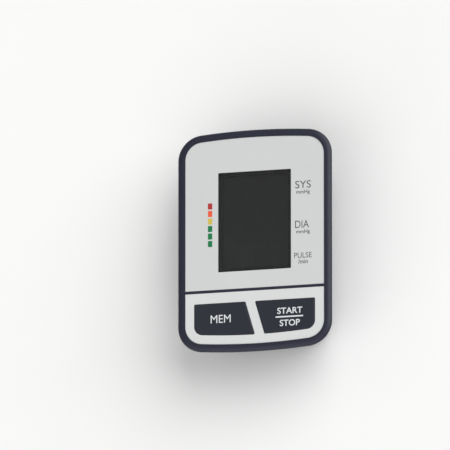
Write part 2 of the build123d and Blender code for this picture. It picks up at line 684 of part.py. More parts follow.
def make_button_panel():
    """Light plate round the two keys."""
    face = make_face(outline_edges(BEZEL_WIDTH + FIT))
    high = DIVIDER_Y - DIVIDER_WIDTH / 2 - FIT
    face &= Pos(0, high - HALF_LENGTH) * Rectangle(FACE_WIDTH, FACE_LENGTH)
    panel = slab(face, DECK_TOP, PANEL_TOP)
    panel = fillet(panel.faces().sort_by(Axis.Z)[-1].edges(), PANEL_EDGE_RADIUS)
    for side in (-1, 1):
        panel -= slab(key_outline(side, BODY_GAP), DECK_TOP, PANEL_TOP)
    return panel


def make_display_window():
    """Clear window, seated on the deck's ledge a little below the panel."""
    window = slab(window_rectangle(0), DECK_TOP, DECK_TOP + WINDOW_THICKNESS)
    return chamfer(window.faces().sort_by(Axis.Z)[-1].edges(), WINDOW_CHAMFER)


def make_lcd_gasket():
    """Foam frame between the deck and the display glass."""
    hole = Pos(0, WINDOW_Y) * Rectangle(LCD_WIDTH - 2 * GASKET_WIDTH, LCD_LENGTH - 2 * GASKET_WIDTH)
    frame = Pos(0, WINDOW_Y) * Rectangle(LCD_WIDTH, LCD_LENGTH) - hole
    return slab(frame, LCD_TOP, DECK_Z)


def make_lcd_glass():
    """Display cell: two bonded glass plates, the front one longer where the contact strips meet it."""
    front = slab(Pos(0, WINDOW_Y) * Rectangle(LCD_WIDTH, LCD_LENGTH), LCD_Z + LCD_THICKNESS / 2, LCD_TOP)
    rear_length = LCD_LENGTH - 2 * (ZEBRA_WIDTH + LCD_SEAL_STEP)
    rear = slab(Pos(0, WINDOW_Y) * Rectangle(LCD_WIDTH, rear_length), LCD_Z, LCD_Z + LCD_THICKNESS / 2)
    return front + rear


def zebra_strips(grow, low, high):
    """The two elastomer contact strips' room between two heights, made larger by grow."""
    reach = LCD_LENGTH / 2 - ZEBRA_WIDTH / 2 - LCD_SEAL_STEP / 2
    x = LCD_WIDTH / 2 - ZEBRA_INSET + grow
    half = ZEBRA_WIDTH / 2 + grow
    return [box(-x, x, y - half, y + half, low, high) for y in (WINDOW_Y - reach, WINDOW_Y + reach)]


def make_zebra_connectors():
    """Two elastomer strips from the board up to the front glass."""
    return Compound(children=zebra_strips(0, BOARD_TOP, LCD_Z + LCD_THICKNESS / 2))


def holder_peg_places():
    """Centres of the display holder's locating pegs."""
    x = LCD_WIDTH / 2 + HOLDER_WALL / 2
    reach = LCD_LENGTH / 2 - HOLDER_WALL
    return [(sx * x, WINDOW_Y + sy * reach) for sx in (-1, 1) for sy in (-1, 1)]


def make_lcd_holder():
    """Frame that stands on the board, carries the glass and guides the contact strips."""
    grow = HOLDER_WALL + FIT
    frame = Pos(0, WINDOW_Y) * RectangleRounded(LCD_WIDTH + 2 * grow, LCD_LENGTH + 2 * grow, HOLDER_CORNER)
    holder = slab(frame, BOARD_TOP, DECK_Z - FIT)
    room = Pos(0, WINDOW_Y) * Rectangle(LCD_WIDTH + 2 * FIT, LCD_LENGTH + 2 * FIT)
    holder -= slab(room, LCD_Z, DECK_Z)
    hole = Pos(0, WINDOW_Y) * Rectangle(LCD_WIDTH - 2 * HOLDER_WALL, LCD_LENGTH - 2 * HOLDER_END_BAR)
    holder -= slab(hole, BOARD_TOP, LCD_Z)
    for strip in zebra_strips(FIT, BOARD_TOP, LCD_Z):
        holder -= strip
    for x, y in holder_peg_places():
        holder += rod_z(x, y, HOLDER_WALL / 2 - FIT, BOARD_Z - FIT, BOARD_TOP)
    return holder


def make_key(side):
    """Key cap with a hollow underside, retaining flange, cross ribs and plunger."""
    ceiling = KEY_TOP_Z - KEY_WALL
    cap = slab(key_outline(side), KEY_FLANGE_Z, KEY_TOP_Z)
    cap = fillet(cap.faces().sort_by(Axis.Z)[-1].edges(), KEY_EDGE_RADIUS)
    cap += slab(key_outline(side, KEY_FLANGE), KEY_FLANGE_Z, KEY_FLANGE_TOP)
    cap -= slab(key_outline(side, -KEY_WALL), KEY_FLANGE_Z, ceiling)
    x = side * KEY_DOME_X
    half = KEY_RIB / 2
    cap += rod_z(x, KEY_DOME_Y, PLUNGER_RADIUS, PLUNGER_Z, ceiling)
    room = slab(key_outline(side, -KEY_WALL / 2), KEY_FLANGE_TOP, ceiling)
    wide = FACE_WIDTH / 2
    rib_x = box(-wide, wide, KEY_DOME_Y - half, KEY_DOME_Y + half, KEY_FLANGE_TOP, ceiling)
    rib_y = box(x - half, x + half, -HALF_LENGTH, KEY_TOP_Y, KEY_FLANGE_TOP, ceiling)
    return cap + ((rib_x + rib_y) & room)


def make_key_dome(side):
    """Silicone dome that pushes a key back up, turned about its own axis."""
    skin = DOME_SKIN
    top_r = PLUNGER_RADIUS
    waist_r = DOME_BASE_RADIUS - DOME_LIP
    profile = Polyline(
        (waist_r - skin, BOARD_TOP),
        (DOME_BASE_RADIUS, BOARD_TOP),
        (DOME_BASE_RADIUS, BOARD_TOP + skin),
        (waist_r, BOARD_TOP + skin),
        (top_r, DOME_TOP),
        (0, DOME_TOP),
        (0, DOME_TOP - skin),
        (top_r - skin, DOME_TOP - skin),
        close=True,
    )
    dome = revolve(Plane.XZ * make_face(profile), Axis.Z)
    return Pos(side * KEY_DOME_X, KEY_DOME_Y, 0) * dome


def make_contact_pill(side):
    """Carbon pill under the middle of a key dome."""
    top = DOME_TOP - DOME_SKIN - FIT
    return rod_z(side * KEY_DOME_X, KEY_DOME_Y, PILL_RADIUS, top - PILL_THICKNESS, top)


def make_main_pcb():
    """Circuit board with notches for the housing bosses and holes for its screws and the holder's pegs."""
    mid_y = (BOARD_TOP_Y + BOARD_BOTTOM_Y) / 2
    face = Pos(0, mid_y) * RectangleRounded(2 * BOARD_HALF_X, BOARD_TOP_Y - BOARD_BOTTOM_Y, BOARD_CORNER)
    for x, y in screw_places():
        face -= Pos(x, y) * Circle(BOSS_RADIUS + BODY_GAP)
    for x, y in board_post_places():
        face -= Pos(x, y) * Circle(BOARD_SCREW_RADIUS + FIT * 2)
    for x, y in holder_peg_places():
        face -= Pos(x, y) * Circle(HOLDER_WALL / 2)
    return slab(face, BOARD_Z, BOARD_TOP)


def make_pcb_screws():
    """Four small pan-head screws that hold the board to the upper shell."""
    screws = []
    wide = SCREW_SLOT_WIDTH / 2
    long = SCREW_SLOT_LENGTH / 2
    head_z = BOARD_Z - BOARD_SCREW_HEAD
    for x, y in board_post_places():
        head = rod_z(x, y, BOARD_SCREW_HEAD_RADIUS, head_z, BOARD_Z)
        head -= box(x - wide, x + wide, y - long, y + long, head_z, head_z + BOARD_SCREW_HEAD / 2)
        screws.append(head + rod_z(x, y, BOARD_SCREW_RADIUS, BOARD_Z, BOARD_Z + BOARD_SCREW_LENGTH))
    return Compound(children=screws)


def make_housing_screws():
    """Four long screws with cross-recessed heads, deep in their wells."""
    screws = []
    wide = SCREW_SLOT_WIDTH / 2
    long = SCREW_SLOT_LENGTH / 2
    head_z = SCREW_SHELF_Z - SCREW_HEAD
    for x, y in screw_places():
        head = rod_z(x, y, SCREW_HEAD_RADIUS, head_z, SCREW_SHELF_Z)
        for reach_x, reach_y in ((long, wide), (wide, long)):
            head -= box(x - reach_x, x + reach_x, y - reach_y, y + reach_y, head_z, head_z + SCREW_HEAD / 2)
        screws.append(head + rod_z(x, y, SCREW_RADIUS, SCREW_SHELF_Z, SCREW_SHELF_Z + SCREW_LENGTH))
    return Compound(children=screws)


def make_rubber_feet():
    """Four round feet, set in recesses of the floor."""
    feet = []
    for x, y in foot_places():
        foot = rod_z(x, y, FOOT_RADIUS, 0, FOOT_THICKNESS)
        feet.append(fillet(foot.faces().sort_by(Axis.Z)[0].edges(), FOOT_EDGE_RADIUS))
    return Compound(children=feet)


def make_battery_cover():
    """Cover plate with two hook tabs, a slotted latch tongue and grip grooves."""
    x = OPENING_X - BODY_GAP
    low = OPENING_LOW_Y + BODY_GAP
    high = OPENING_HIGH_Y - BODY_GAP
    cover = box(-x, x, low, high, FLOOR_Z, COVER_TOP)
    cover = fillet(cover.edges().filter_by(Axis.Z), COVER_CORNER)
    half = LATCH_SLOT / 2
    for side in (-1, 1):
        slot_x = side * (LATCH_WIDTH / 2 + half)
        cover -= box(slot_x - half, slot_x + half, high - LATCH_LENGTH, high, FLOOR_Z, COVER_TOP)
    for i in range(GRIP_COUNT):
        y = high - GRIP_MARGIN - i * GRIP_PITCH
        cover -= rod_x(y, FLOOR_Z, GRIP_RADIUS, -GRIP_LENGTH / 2, GRIP_LENGTH / 2)
    for side in (-1, 1):
        cover += cover_tab(side)
    return cover


def cover_tab(side):
    """Hook tab that reaches over the floor's edge inside the housing."""
    x0 = side * COVER_TAB_X - COVER_TAB_WIDTH / 2
    x1 = x0 + COVER_TAB_WIDTH
    top = LEDGE_Z + COVER_TAB_THICKNESS
    inner = BAY_LOW_Y + FIT
    root = box(x0, x1, OPENING_LOW_Y + BODY_GAP, inner, COVER_TOP, top)
    return root + box(x0, x1, OPENING_LOW_Y - COVER_TAB_REACH, inner, LEDGE_Z, top)


def cell_places():
    """X position and end of the positive nub of each cell, alternating."""
    first = -(CELL_COUNT - 1) * CELL_PITCH / 2
    return [(first + i * CELL_PITCH, -1 if i % 2 == 0 else 1) for i in range(CELL_COUNT)]


def nub_tip_y(side):
    """Where a cell's positive tip touches its contact plate."""
    end = BAY_LOW_Y if side < 0 else BAY_HIGH_Y
    return end - side * (CONTACT_THICKNESS + 2 * FIT)


def make_aa_cells():
    """Four round cells lying side by side, each turned the other way from the next."""
    cells = []
    for x, side in cell_places():
        tip = nub_tip_y(side)
        body_end = tip - side * NUB_LENGTH
        flat_end = tip - side * CELL_LENGTH
        low, high = sorted((body_end, flat_end))
        can = rod_y(x, CELL_Z, CELL_RADIUS, low, high)
        body = fillet(can.edges().filter_by(GeomType.CIRCLE), CELL_EDGE_RADIUS)
        low, high = sorted((body_end, tip))
        cells.append(body + rod_y(x, CELL_Z, NUB_RADIUS, low, high))
    return Compound(children=cells)


def terminal_places():
    """X positions of the two end terminals of the cell chain."""
    places = cell_places()
    return [places[0][0], places[-1][0]]


def contact_plate(x0, x1, end):
    """Flat contact plate against one end wall of the bay."""
    wall = BAY_LOW_Y if end < 0 else BAY_HIGH_Y
    low, high = sorted((wall, wall - end * CONTACT_THICKNESS))
    return box(x0, x1, low, high, CONTACT_LOW_Z, CONTACT_HIGH_Z)


def make_battery_terminals():
    """The two end terminals, with solder tails up to the circuit board."""
    half = CONTACT_WIDTH / 2
    tail_half = TAIL_WIDTH / 2
    back = BAY_HIGH_Y - CONTACT_THICKNESS
    plates = []
    for x in terminal_places():
        tail = box(x - tail_half, x + tail_half, back, BAY_HIGH_Y, CONTACT_HIGH_Z, BOARD_Z)
        plates.append(contact_plate(x - half, x + half, 1) + tail)
    return Compound(children=plates)


def make_battery_links():
    """Three plates that join neighbouring cells: two at the lower end, one at the upper end."""
    half = CONTACT_WIDTH / 2
    xs = [x for x, _ in cell_places()]
    pairs = [(xs[i], xs[i + 1], -1 if i % 2 == 0 else 1) for i in range(CELL_COUNT - 1)]
    return Compound(children=[contact_plate(a - half, b + half, end) for a, b, end in pairs])


def make_battery_springs():
    """Bent leaf at the negative end of each cell."""
    leaves = []
    root = CONTACT_THICKNESS / 2
    for x, side in cell_places():
        end = -side
        wall = (BAY_LOW_Y if end < 0 else BAY_HIGH_Y) - end * CONTACT_THICKNESS
        flat_end = nub_tip_y(side) - side * CELL_LENGTH
        reach = abs(wall - flat_end) - root - FIT
        line = Polyline(
            (root, CONTACT_LOW_Z),
            (root, CELL_Z - LEAF_SPAN),
            (reach, CELL_Z - LEAF_CREST),
            (reach, CELL_Z + LEAF_CREST),
            (root + LEAF_FREE_END, CELL_Z + LEAF_SPAN),
        )
        plane = Plane(origin=(x - LEAF_WIDTH / 2, wall, 0), x_dir=(0, -end, 0), z_dir=(-end, 0, 0))
        leaves.append(extrude(plane * trace(line, CONTACT_THICKNESS), -end * LEAF_WIDTH))
    return Compound(children=leaves)


def make_pump_motor():
    """Motor can with front neck and a blind hole for the shaft."""
    front = PUMP_X - MOTOR_NECK_LENGTH
    can = rod_x(PUMP_Y, PUMP_Z, MOTOR_RADIUS, PUMP_X, PUMP_X + MOTOR_LENGTH)
    can = chamfer(can.edges().filter_by(GeomType.CIRCLE), MOTOR_EDGE)
    can += rod_x(PUMP_Y, PUMP_Z, MOTOR_NECK_RADIUS, front, PUMP_X)
    return can - rod_x(PUMP_Y, PUMP_Z, SHAFT_RADIUS + RUNNING_FIT, front, PUMP_X + SHAFT_INSIDE + FIT)


def make_pump_motor_cap():
    """Plastic end bell with two terminal ears."""
    start = PUMP_X + MOTOR_LENGTH
    end = start + MOTOR_CAP_LENGTH
    cap = rod_x(PUMP_Y, PUMP_Z, MOTOR_RADIUS - MOTOR_CAP_STEP, start, end)
    wide = TERMINAL_WIDTH / 2
    tall = TERMINAL_HEIGHT / 2
    for y in lead_places():
        cap += box(end, end + TERMINAL_LENGTH, y - wide, y + wide, PUMP_Z - tall, PUMP_Z + tall)
    return cap


def lead_places():
    """Y positions of the motor's two terminals."""
    return [PUMP_Y - TERMINAL_APART / 2, PUMP_Y + TERMINAL_APART / 2]


def make_pump_shaft():
    """Motor shaft, from its bearing in the can to the crank."""
    front = PUMP_X - MOTOR_NECK_LENGTH - SHAFT_OUTSIDE
    return rod_x(PUMP_Y, PUMP_Z, SHAFT_RADIUS, front, PUMP_X + SHAFT_INSIDE)


def stem_axis_plane():
    """Plane on the wobble disc's tilted axis, through its pivot on the motor axis."""
    lean = radians(WOBBLE_TILT_DEG)
    return Plane(origin=(PIVOT_X, PUMP_Y, PUMP_Z), x_dir=(0, 1, 0), z_dir=(cos(lean), 0, sin(lean)))


def make_pump_crank():
    """Crank on the shaft, with an oblique hole for the wobble disc's stem."""
    end = CRANK_X - CRANK_LENGTH
    middle = CRANK_X - CRANK_LENGTH / 2
    crank = rod_x(PUMP_Y, PUMP_Z, CRANK_RADIUS, end, CRANK_X)
    crank -= rod_x(PUMP_Y, PUMP_Z, SHAFT_RADIUS + RUNNING_FIT / 2, middle, CRANK_X)
    reach = CRANK_X - PIVOT_X
    hole = stem_axis_plane() * (Pos(0, 0, reach / 2) * Cylinder(WOBBLE_STEM_RADIUS + RUNNING_FIT, reach))
    return crank - (hole & rod_x(PUMP_Y, PUMP_Z, CRANK_RADIUS, end, middle - FIT))


def make_pump_wobble_disc():
    """Tilted disc and stem, which the crank swings round to press the cups in turn."""
    stem_length = CRANK_X - CRANK_LENGTH / 2 - BODY_GAP - PIVOT_X
    stem = Pos(0, 0, stem_length / 2) * Cylinder(WOBBLE_STEM_RADIUS, stem_length)
    return stem_axis_plane() * (Cylinder(WOBBLE_RADIUS, WOBBLE_THICKNESS) + stem)


def make_pump_crankcase():
    """Cup round the crank, open towards the diaphragm."""
    floor = PUMP_X - CRANKCASE_WALL
    case = rod_x(PUMP_Y, PUMP_Z, HEAD_RADIUS, DIAPHRAGM_X, PUMP_X)
    case -= rod_x(PUMP_Y, PUMP_Z, HEAD_RADIUS - CRANKCASE_WALL, DIAPHRAGM_X, floor)
    return case - rod_x(PUMP_Y, PUMP_Z, MOTOR_NECK_RADIUS + RUNNING_FIT, floor, PUMP_X)


def cup_places():
    """Centres of the pump's cups, as Y and Z."""
    turns = [90 + i * 360 / CUP_COUNT for i in range(CUP_COUNT)]
    return [(PUMP_Y + CUP_CIRCLE * cos(radians(a)), PUMP_Z + CUP_CIRCLE * sin(radians(a))) for a in turns]


def make_pump_diaphragm():
    """Rubber sheet with three low cups towards the wobble disc."""
    sheet = rod_x(PUMP_Y, PUMP_Z, HEAD_RADIUS, VALVE_BODY_X, DIAPHRAGM_X)
    for y, z in cup_places():
        sheet += rod_x(y, z, CUP_RADIUS, DIAPHRAGM_X, DIAPHRAGM_X + CUP_HEIGHT)
    return sheet


def make_pump_valve_body():
    """Valve plate with three round chambers."""
    body = rod_x(PUMP_Y, PUMP_Z, HEAD_RADIUS, PUMP_COVER_X, VALVE_BODY_X)
    for y, z in cup_places():
        body -= rod_x(y, z, CUP_RADIUS - FIT, PUMP_COVER_X + CHAMBER_FLOOR, VALVE_BODY_X)
    return body


def make_pump_cover():
    """End cover with the outlet barb."""
    cover = rod_x(PUMP_Y, PUMP_Z, HEAD_RADIUS, PUMP_END_X, PUMP_COVER_X)
    cover = fillet(cover.faces().sort_by(Axis.X)[0].edges(), HEAD_EDGE_RADIUS)
    cover += rod_x(PUMP_Y, PUMP_Z, BARB_RADIUS, PUMP_END_X - PORT_LENGTH, PUMP_END_X)
    return cover - rod_x(PUMP_Y, PUMP_Z, BARB_HOLE, PUMP_END_X - PORT_LENGTH, PUMP_COVER_X)


def make_pump_mount_rings():
    """Two rubber rings between the motor can and its saddles."""
    rings = []
    half = MOUNT_RING_WIDTH / 2
    for x in MOUNT_RING_XS:
        mid = PUMP_X + x
        ring = rod_x(PUMP_Y, PUMP_Z, MOTOR_RADIUS + MOUNT_RING, mid - half, mid + half)
        rings.append(ring - rod_x(PUMP_Y, PUMP_Z, MOTOR_RADIUS + RUBBER_FIT, mid - half, mid + half))
    return Compound(children=rings)


def make_pump_top_pad():
    """Foam pad between the motor can and the circuit board."""
    mid = PUMP_X + sum(MOUNT_RING_XS) / len(MOUNT_RING_XS)
    wide = PAD_WIDTH / 2
    long = PAD_LENGTH / 2
    pad = box(mid - wide, mid + wide, PUMP_Y - long, PUMP_Y + long, PUMP_Z + MOTOR_RADIUS / 2, BOARD_Z)
    return pad - rod_x(PUMP_Y, PUMP_Z, MOTOR_RADIUS + RUBBER_FIT, mid - wide, mid + wide)


def route_radii(points):
    """Corner radii that leave a short straight at both ends of each run of a route."""
    radii = []
    for a, b, c in zip(points, points[1:], points[2:]):
        before = Vector(b) - Vector(a)
        after = Vector(c) - Vector(b)
        turn = radians(before.get_angle(after))
        radii.append(ARC_SHARE * min(before.length, after.length) / tan(turn / 2))
    return radii


def hose(points, outer, inner=0.0):
    """Tube or lead along a route of straight runs and tangent arcs."""
    path = FilletPolyline(*points, radius=route_radii(points)) if len(points) > 2 else Line(*points)
    section = Circle(outer)
    if inner:
        section -= Circle(inner)
    return sweep(Plane(path ^ 0) * section, path=path)


def make_air_socket():
    """Socket for the arm cuff's hose plug, with a collar behind the wall and a barb inside."""
    bore_end = AIR_BORE_LENGTH - SOCKET_FACE_X
    collar = SOCKET_COLLAR - SOCKET_SEAT_X
    socket = rod_x(AIR_Y, AIR_Z, SOCKET_RADIUS, -SOCKET_FACE_X, -SOCKET_SEAT_X)
    socket += rod_x(AIR_Y, AIR_Z, SOCKET_RADIUS + SOCKET_COLLAR_STEP, -SOCKET_SEAT_X, collar)
    socket += rod_x(AIR_Y, AIR_Z, AIR_BORE_RADIUS + SOCKET_END_WALL, collar, SOCKET_TAIL_X)
    socket += rod_x(AIR_Y, AIR_Z, BARB_RADIUS, SOCKET_TAIL_X, SOCKET_BARB_X)
    socket -= rod_x(AIR_Y, AIR_Z, AIR_BORE_RADIUS, -SOCKET_FACE_X, bore_end)
    return socket - rod_x(AIR_Y, AIR_Z, BARB_HOLE, bore_end, SOCKET_BARB_X)


def make_air_manifold():
    """Five-way connector: one bar with end, upright and side barbs, bored through."""
    ports = (PUMP_PORT_X, SENSOR_PORT_X, VALVE_PORT_X)
    side_y = AIR_Y + MANIFOLD_RADIUS + PORT_LENGTH
    left = MANIFOLD_LEFT_X - BARB_LENGTH
    bar = rod_x(AIR_Y, AIR_Z, MANIFOLD_RADIUS, MANIFOLD_LEFT_X, MANIFOLD_RIGHT_X)
    bar += rod_x(AIR_Y, AIR_Z, BARB_RADIUS, left, MANIFOLD_LEFT_X)
    bar += rod_y(SENSOR_PORT_X, AIR_Z, BARB_RADIUS, AIR_Y, side_y)
    for x in ports:
        bar += rod_z(x, AIR_Y, BARB_RADIUS, AIR_Z, PORT_TOP)
    bar -= rod_x(AIR_Y, AIR_Z, BARB_HOLE, left, MANIFOLD_RIGHT_X - MANIFOLD_END_WALL)
    for x in ports:
        bar -= rod_z(x, AIR_Y, BARB_HOLE, AIR_Z, PORT_TOP)
    return bar - rod_y(SENSOR_PORT_X, AIR_Z, BARB_HOLE, AIR_Y, side_y)


def make_socket_tube():
    """Short tube from the air socket to the manifold."""
    ends = [(SOCKET_TAIL_X + FIT, AIR_Y, AIR_Z), (MANIFOLD_LEFT_X - FIT, AIR_Y, AIR_Z)]
    return hose(ends, TUBE_RADIUS, TUBE_BORE)


def make_pump_tube():
    """Tube from the pump's outlet, along the side of the battery bay, to the manifold."""
    bend = PUMP_TUBE_BEND
    route = [
        (PUMP_END_X - FIT, PUMP_Y, PUMP_Z),
        (PUMP_TUBE_X + PUMP_TUBE_TURN, PUMP_Y, PUMP_Z),
        (PUMP_TUBE_X, PUMP_Y + bend, PUMP_TUBE_Z),
        (PUMP_TUBE_X, AIR_Y - 2 * bend, PUMP_TUBE_Z),
        (PUMP_TUBE_X + bend, AIR_Y - bend / 4, PUMP_TUBE_Z),
        (PUMP_PORT_X - bend, AIR_Y, PUMP_TUBE_Z),
        (PUMP_PORT_X, AIR_Y, PUMP_TUBE_Z - PUMP_TUBE_TURN),
        (PUMP_PORT_X, AIR_Y, AIR_Z + MANIFOLD_RADIUS + FIT),
    ]
    return hose(route, TUBE_RADIUS, TUBE_BORE)


def make_sensor_tube():
    """Upright tube from the manifold to the pressure sensor."""
    low = AIR_Z + MANIFOLD_RADIUS + FIT
    high = BOARD_Z - SENSOR_HEIGHT - FIT
    return hose([(SENSOR_PORT_X, AIR_Y, low), (SENSOR_PORT_X, AIR_Y, high)], TUBE_RADIUS, TUBE_BORE)


def make_valve_tube():
    """Bent tube from the manifold to the exhaust valve."""
    route = [
        (VALVE_PORT_X, AIR_Y, AIR_Z + MANIFOLD_RADIUS + FIT),
        (VALVE_PORT_X, AIR_Y, VALVE_PORT_Z),
        (VALVE_X - NOZZLE_RADIUS - FIT, AIR_Y, VALVE_PORT_Z),
    ]
    return hose(route, TUBE_RADIUS, TUBE_BORE)


def make_bleed_valve():
    """Slow-leak rubber valve on the manifold's side barb."""
    start = AIR_Y + MANIFOLD_RADIUS + FIT
    sleeve = rod_y(SENSOR_PORT_X, AIR_Z, TUBE_BORE + BLEED_WALL, start, start + PORT_LENGTH + BLEED_TIP)
    sleeve = fillet(sleeve.faces().sort_by(Axis.Y)[-1].edges(), BLEED_EDGE_RADIUS)
    return sleeve - rod_y(SENSOR_PORT_X, AIR_Z, TUBE_BORE, start, start + PORT_LENGTH)


def make_valve_frame():
    """Steel yoke of the exhaust valve: floor, top and one back plate."""
    half = VALVE_SIZE / 2
    x0 = VALVE_X - half
    x1 = VALVE_X + half
    low = FLOOR_TOP + YOKE_THICKNESS
    high = VALVE_TOP_Z - YOKE_THICKNESS
    frame = box(x0, x1, AIR_Y - half, AIR_Y + half, FLOOR_TOP, VALVE_TOP_Z)
    frame -= box(x0, x1, AIR_Y - half, AIR_Y + half - YOKE_THICKNESS, low, high)
    return frame - rod_z(VALVE_X, AIR_Y, VALVE_BORE_RADIUS + RUNNING_FIT, high, VALVE_TOP_Z)


def make_valve_coil():
    """Wound coil between two flanges, with its blind bore for the plunger."""
    low = FLOOR_TOP + YOKE_THICKNESS
    high = VALVE_TOP_Z - YOKE_THICKNESS
    coil = rod_z(VALVE_X, AIR_Y, COIL_RADIUS - COIL_FLANGE, low, high)
    coil += rod_z(VALVE_X, AIR_Y, COIL_RADIUS, low, low + COIL_FLANGE)
    coil += rod_z(VALVE_X, AIR_Y, COIL_RADIUS, high - COIL_FLANGE, high)
    return coil - rod_z(VALVE_X, AIR_Y, VALVE_BORE_RADIUS + RUNNING_FIT, plunger_low() - BODY_GAP, high)


def plunger_top():
    """Top of the steel plunger at rest, under its rubber tip."""
    return VALVE_TOP_Z + PLUNGER_RISE


def plunger_low():
    """Lower end of the steel plunger at rest."""
    return plunger_top() - PLUNGER_LENGTH


def make_valve_plunger():
    """Steel plunger that slides up to close the nozzle."""
    return rod_z(VALVE_X, AIR_Y, VALVE_BORE_RADIUS, plunger_low(), plunger_top())


def nozzle_roof():
    """Height of the nozzle's seat, which the rubber tip meets at the end of its travel."""
    return plunger_top() + VALVE_TIP_LENGTH + VALVE_TRAVEL + RUNNING_FIT


def make_valve_tip():
    """Rubber tip on the plunger."""
    return rod_z(VALVE_X, AIR_Y, VALVE_TIP_RADIUS, plunger_top(), plunger_top() + VALVE_TIP_LENGTH)


def make_valve_spring():
    """Return spring between the plunger's shoulder and the nozzle, drawn as its outer sleeve."""
    low = plunger_top() + RUNNING_FIT
    high = nozzle_roof()
    ring = rod_z(VALVE_X, AIR_Y, VALVE_BORE_RADIUS - FIT, low, high)
    return ring - rod_z(VALVE_X, AIR_Y, VALVE_TIP_RADIUS + FIT, low, high)


def make_valve_nozzle():
    """Cap over the plunger with the seat and the side barb."""
    cap = rod_z(VALVE_X, AIR_Y, NOZZLE_RADIUS, VALVE_TOP_Z, VALVE_TOP_Z + NOZZLE_LENGTH)
    cap -= rod_z(VALVE_X, AIR_Y, VALVE_BORE_RADIUS + BODY_GAP, VALVE_TOP_Z, nozzle_roof())
    cap -= rod_z(VALVE_X, AIR_Y, BARB_HOLE, VALVE_TOP_Z, VALVE_PORT_Z)
    barb_x = VALVE_X - NOZZLE_RADIUS - PORT_LENGTH
    cap += rod_x(AIR_Y, VALVE_PORT_Z, BARB_RADIUS, barb_x, VALVE_X - NOZZLE_RADIUS / 2)
    return cap - rod_x(AIR_Y, VALVE_PORT_Z, BARB_HOLE, barb_x, VALVE_X)


def make_dc_socket():
    """Mains adaptor socket: round barrel in the wall, block behind it, bored for the plug."""
    back = SOCKET_FACE_X - DC_DEPTH
    half = DC_BLOCK / 2
    body = box(back, SOCKET_SEAT_X, AIR_Y - half, AIR_Y + half, AIR_Z - half, AIR_Z + half)
    body += rod_x(AIR_Y, AIR_Z, DC_BARREL_RADIUS, SOCKET_SEAT_X, SOCKET_FACE_X)
    bore_end = SOCKET_FACE_X - DC_PIN_LENGTH - DC_PIN_SINK
    return body - rod_x(AIR_Y, AIR_Z, DC_BORE_RADIUS, bore_end, SOCKET_FACE_X)


def make_dc_pin():
    """Centre pin of the adaptor socket."""
    end = SOCKET_FACE_X - DC_PIN_SINK
    return rod_x(AIR_Y, AIR_Z, DC_PIN_RADIUS, end - DC_PIN_LENGTH, end)


def chip(x, y, wide, deep, tall):
    """A block that hangs under the circuit board."""
    return box(x - wide / 2, x + wide / 2, y - deep / 2, y + deep / 2, BOARD_Z - tall, BOARD_Z)


def can(x, y, radius, tall):
    """A round part that hangs under the circuit board."""
    return rod_z(x, y, radius, BOARD_Z - tall, BOARD_Z)


def make_pressure_sensor():
    """Pressure sensor under the board, with its barb pointing down."""
    body = chip(SENSOR_PORT_X, AIR_Y, SENSOR_SIZE, SENSOR_SIZE, SENSOR_HEIGHT)
    return body + rod_z(SENSOR_PORT_X, AIR_Y, BARB_RADIUS, SENSOR_BARB_Z, BOARD_Z - SENSOR_HEIGHT)


def lead_up(x0, y, z, x1):
    """One lead that leaves along X and turns up to the circuit board."""
    return hose([(x0, y, z), (x1, y, z), (x1, y, BOARD_Z)], LEAD_RADIUS)


def make_pump_leads():
    """Two leads from the motor's terminals up to the board."""
    start = PUMP_X + MOTOR_LENGTH + MOTOR_CAP_LENGTH + TERMINAL_LENGTH
    return Compound(children=[lead_up(start, y, PUMP_Z, start + LEAD_RUN) for y in lead_places()])


def lead_pair_ys():
    """Y positions of the two leads of the valve or of the adaptor socket."""
    return [AIR_Y - LEAD_APART / 2, AIR_Y + LEAD_APART / 2]


def make_valve_leads():
    """Two leads from the valve coil up to the board."""
    z = (FLOOR_TOP + VALVE_TOP_Z) / 2
    start = VALVE_X + COIL_RADIUS - COIL_FLANGE
    out = VALVE_X + VALVE_SIZE / 2 + LEAD_RUN / 2
    return Compound(children=[lead_up(start, y, z, out) for y in lead_pair_ys()])


def make_socket_leads():
    """Two leads from the adaptor socket up to the board."""
    start = SOCKET_FACE_X - DC_DEPTH
    return Compound(children=[lead_up(start, y, AIR_Z, start - LEAD_RUN) for y in lead_pair_ys()])


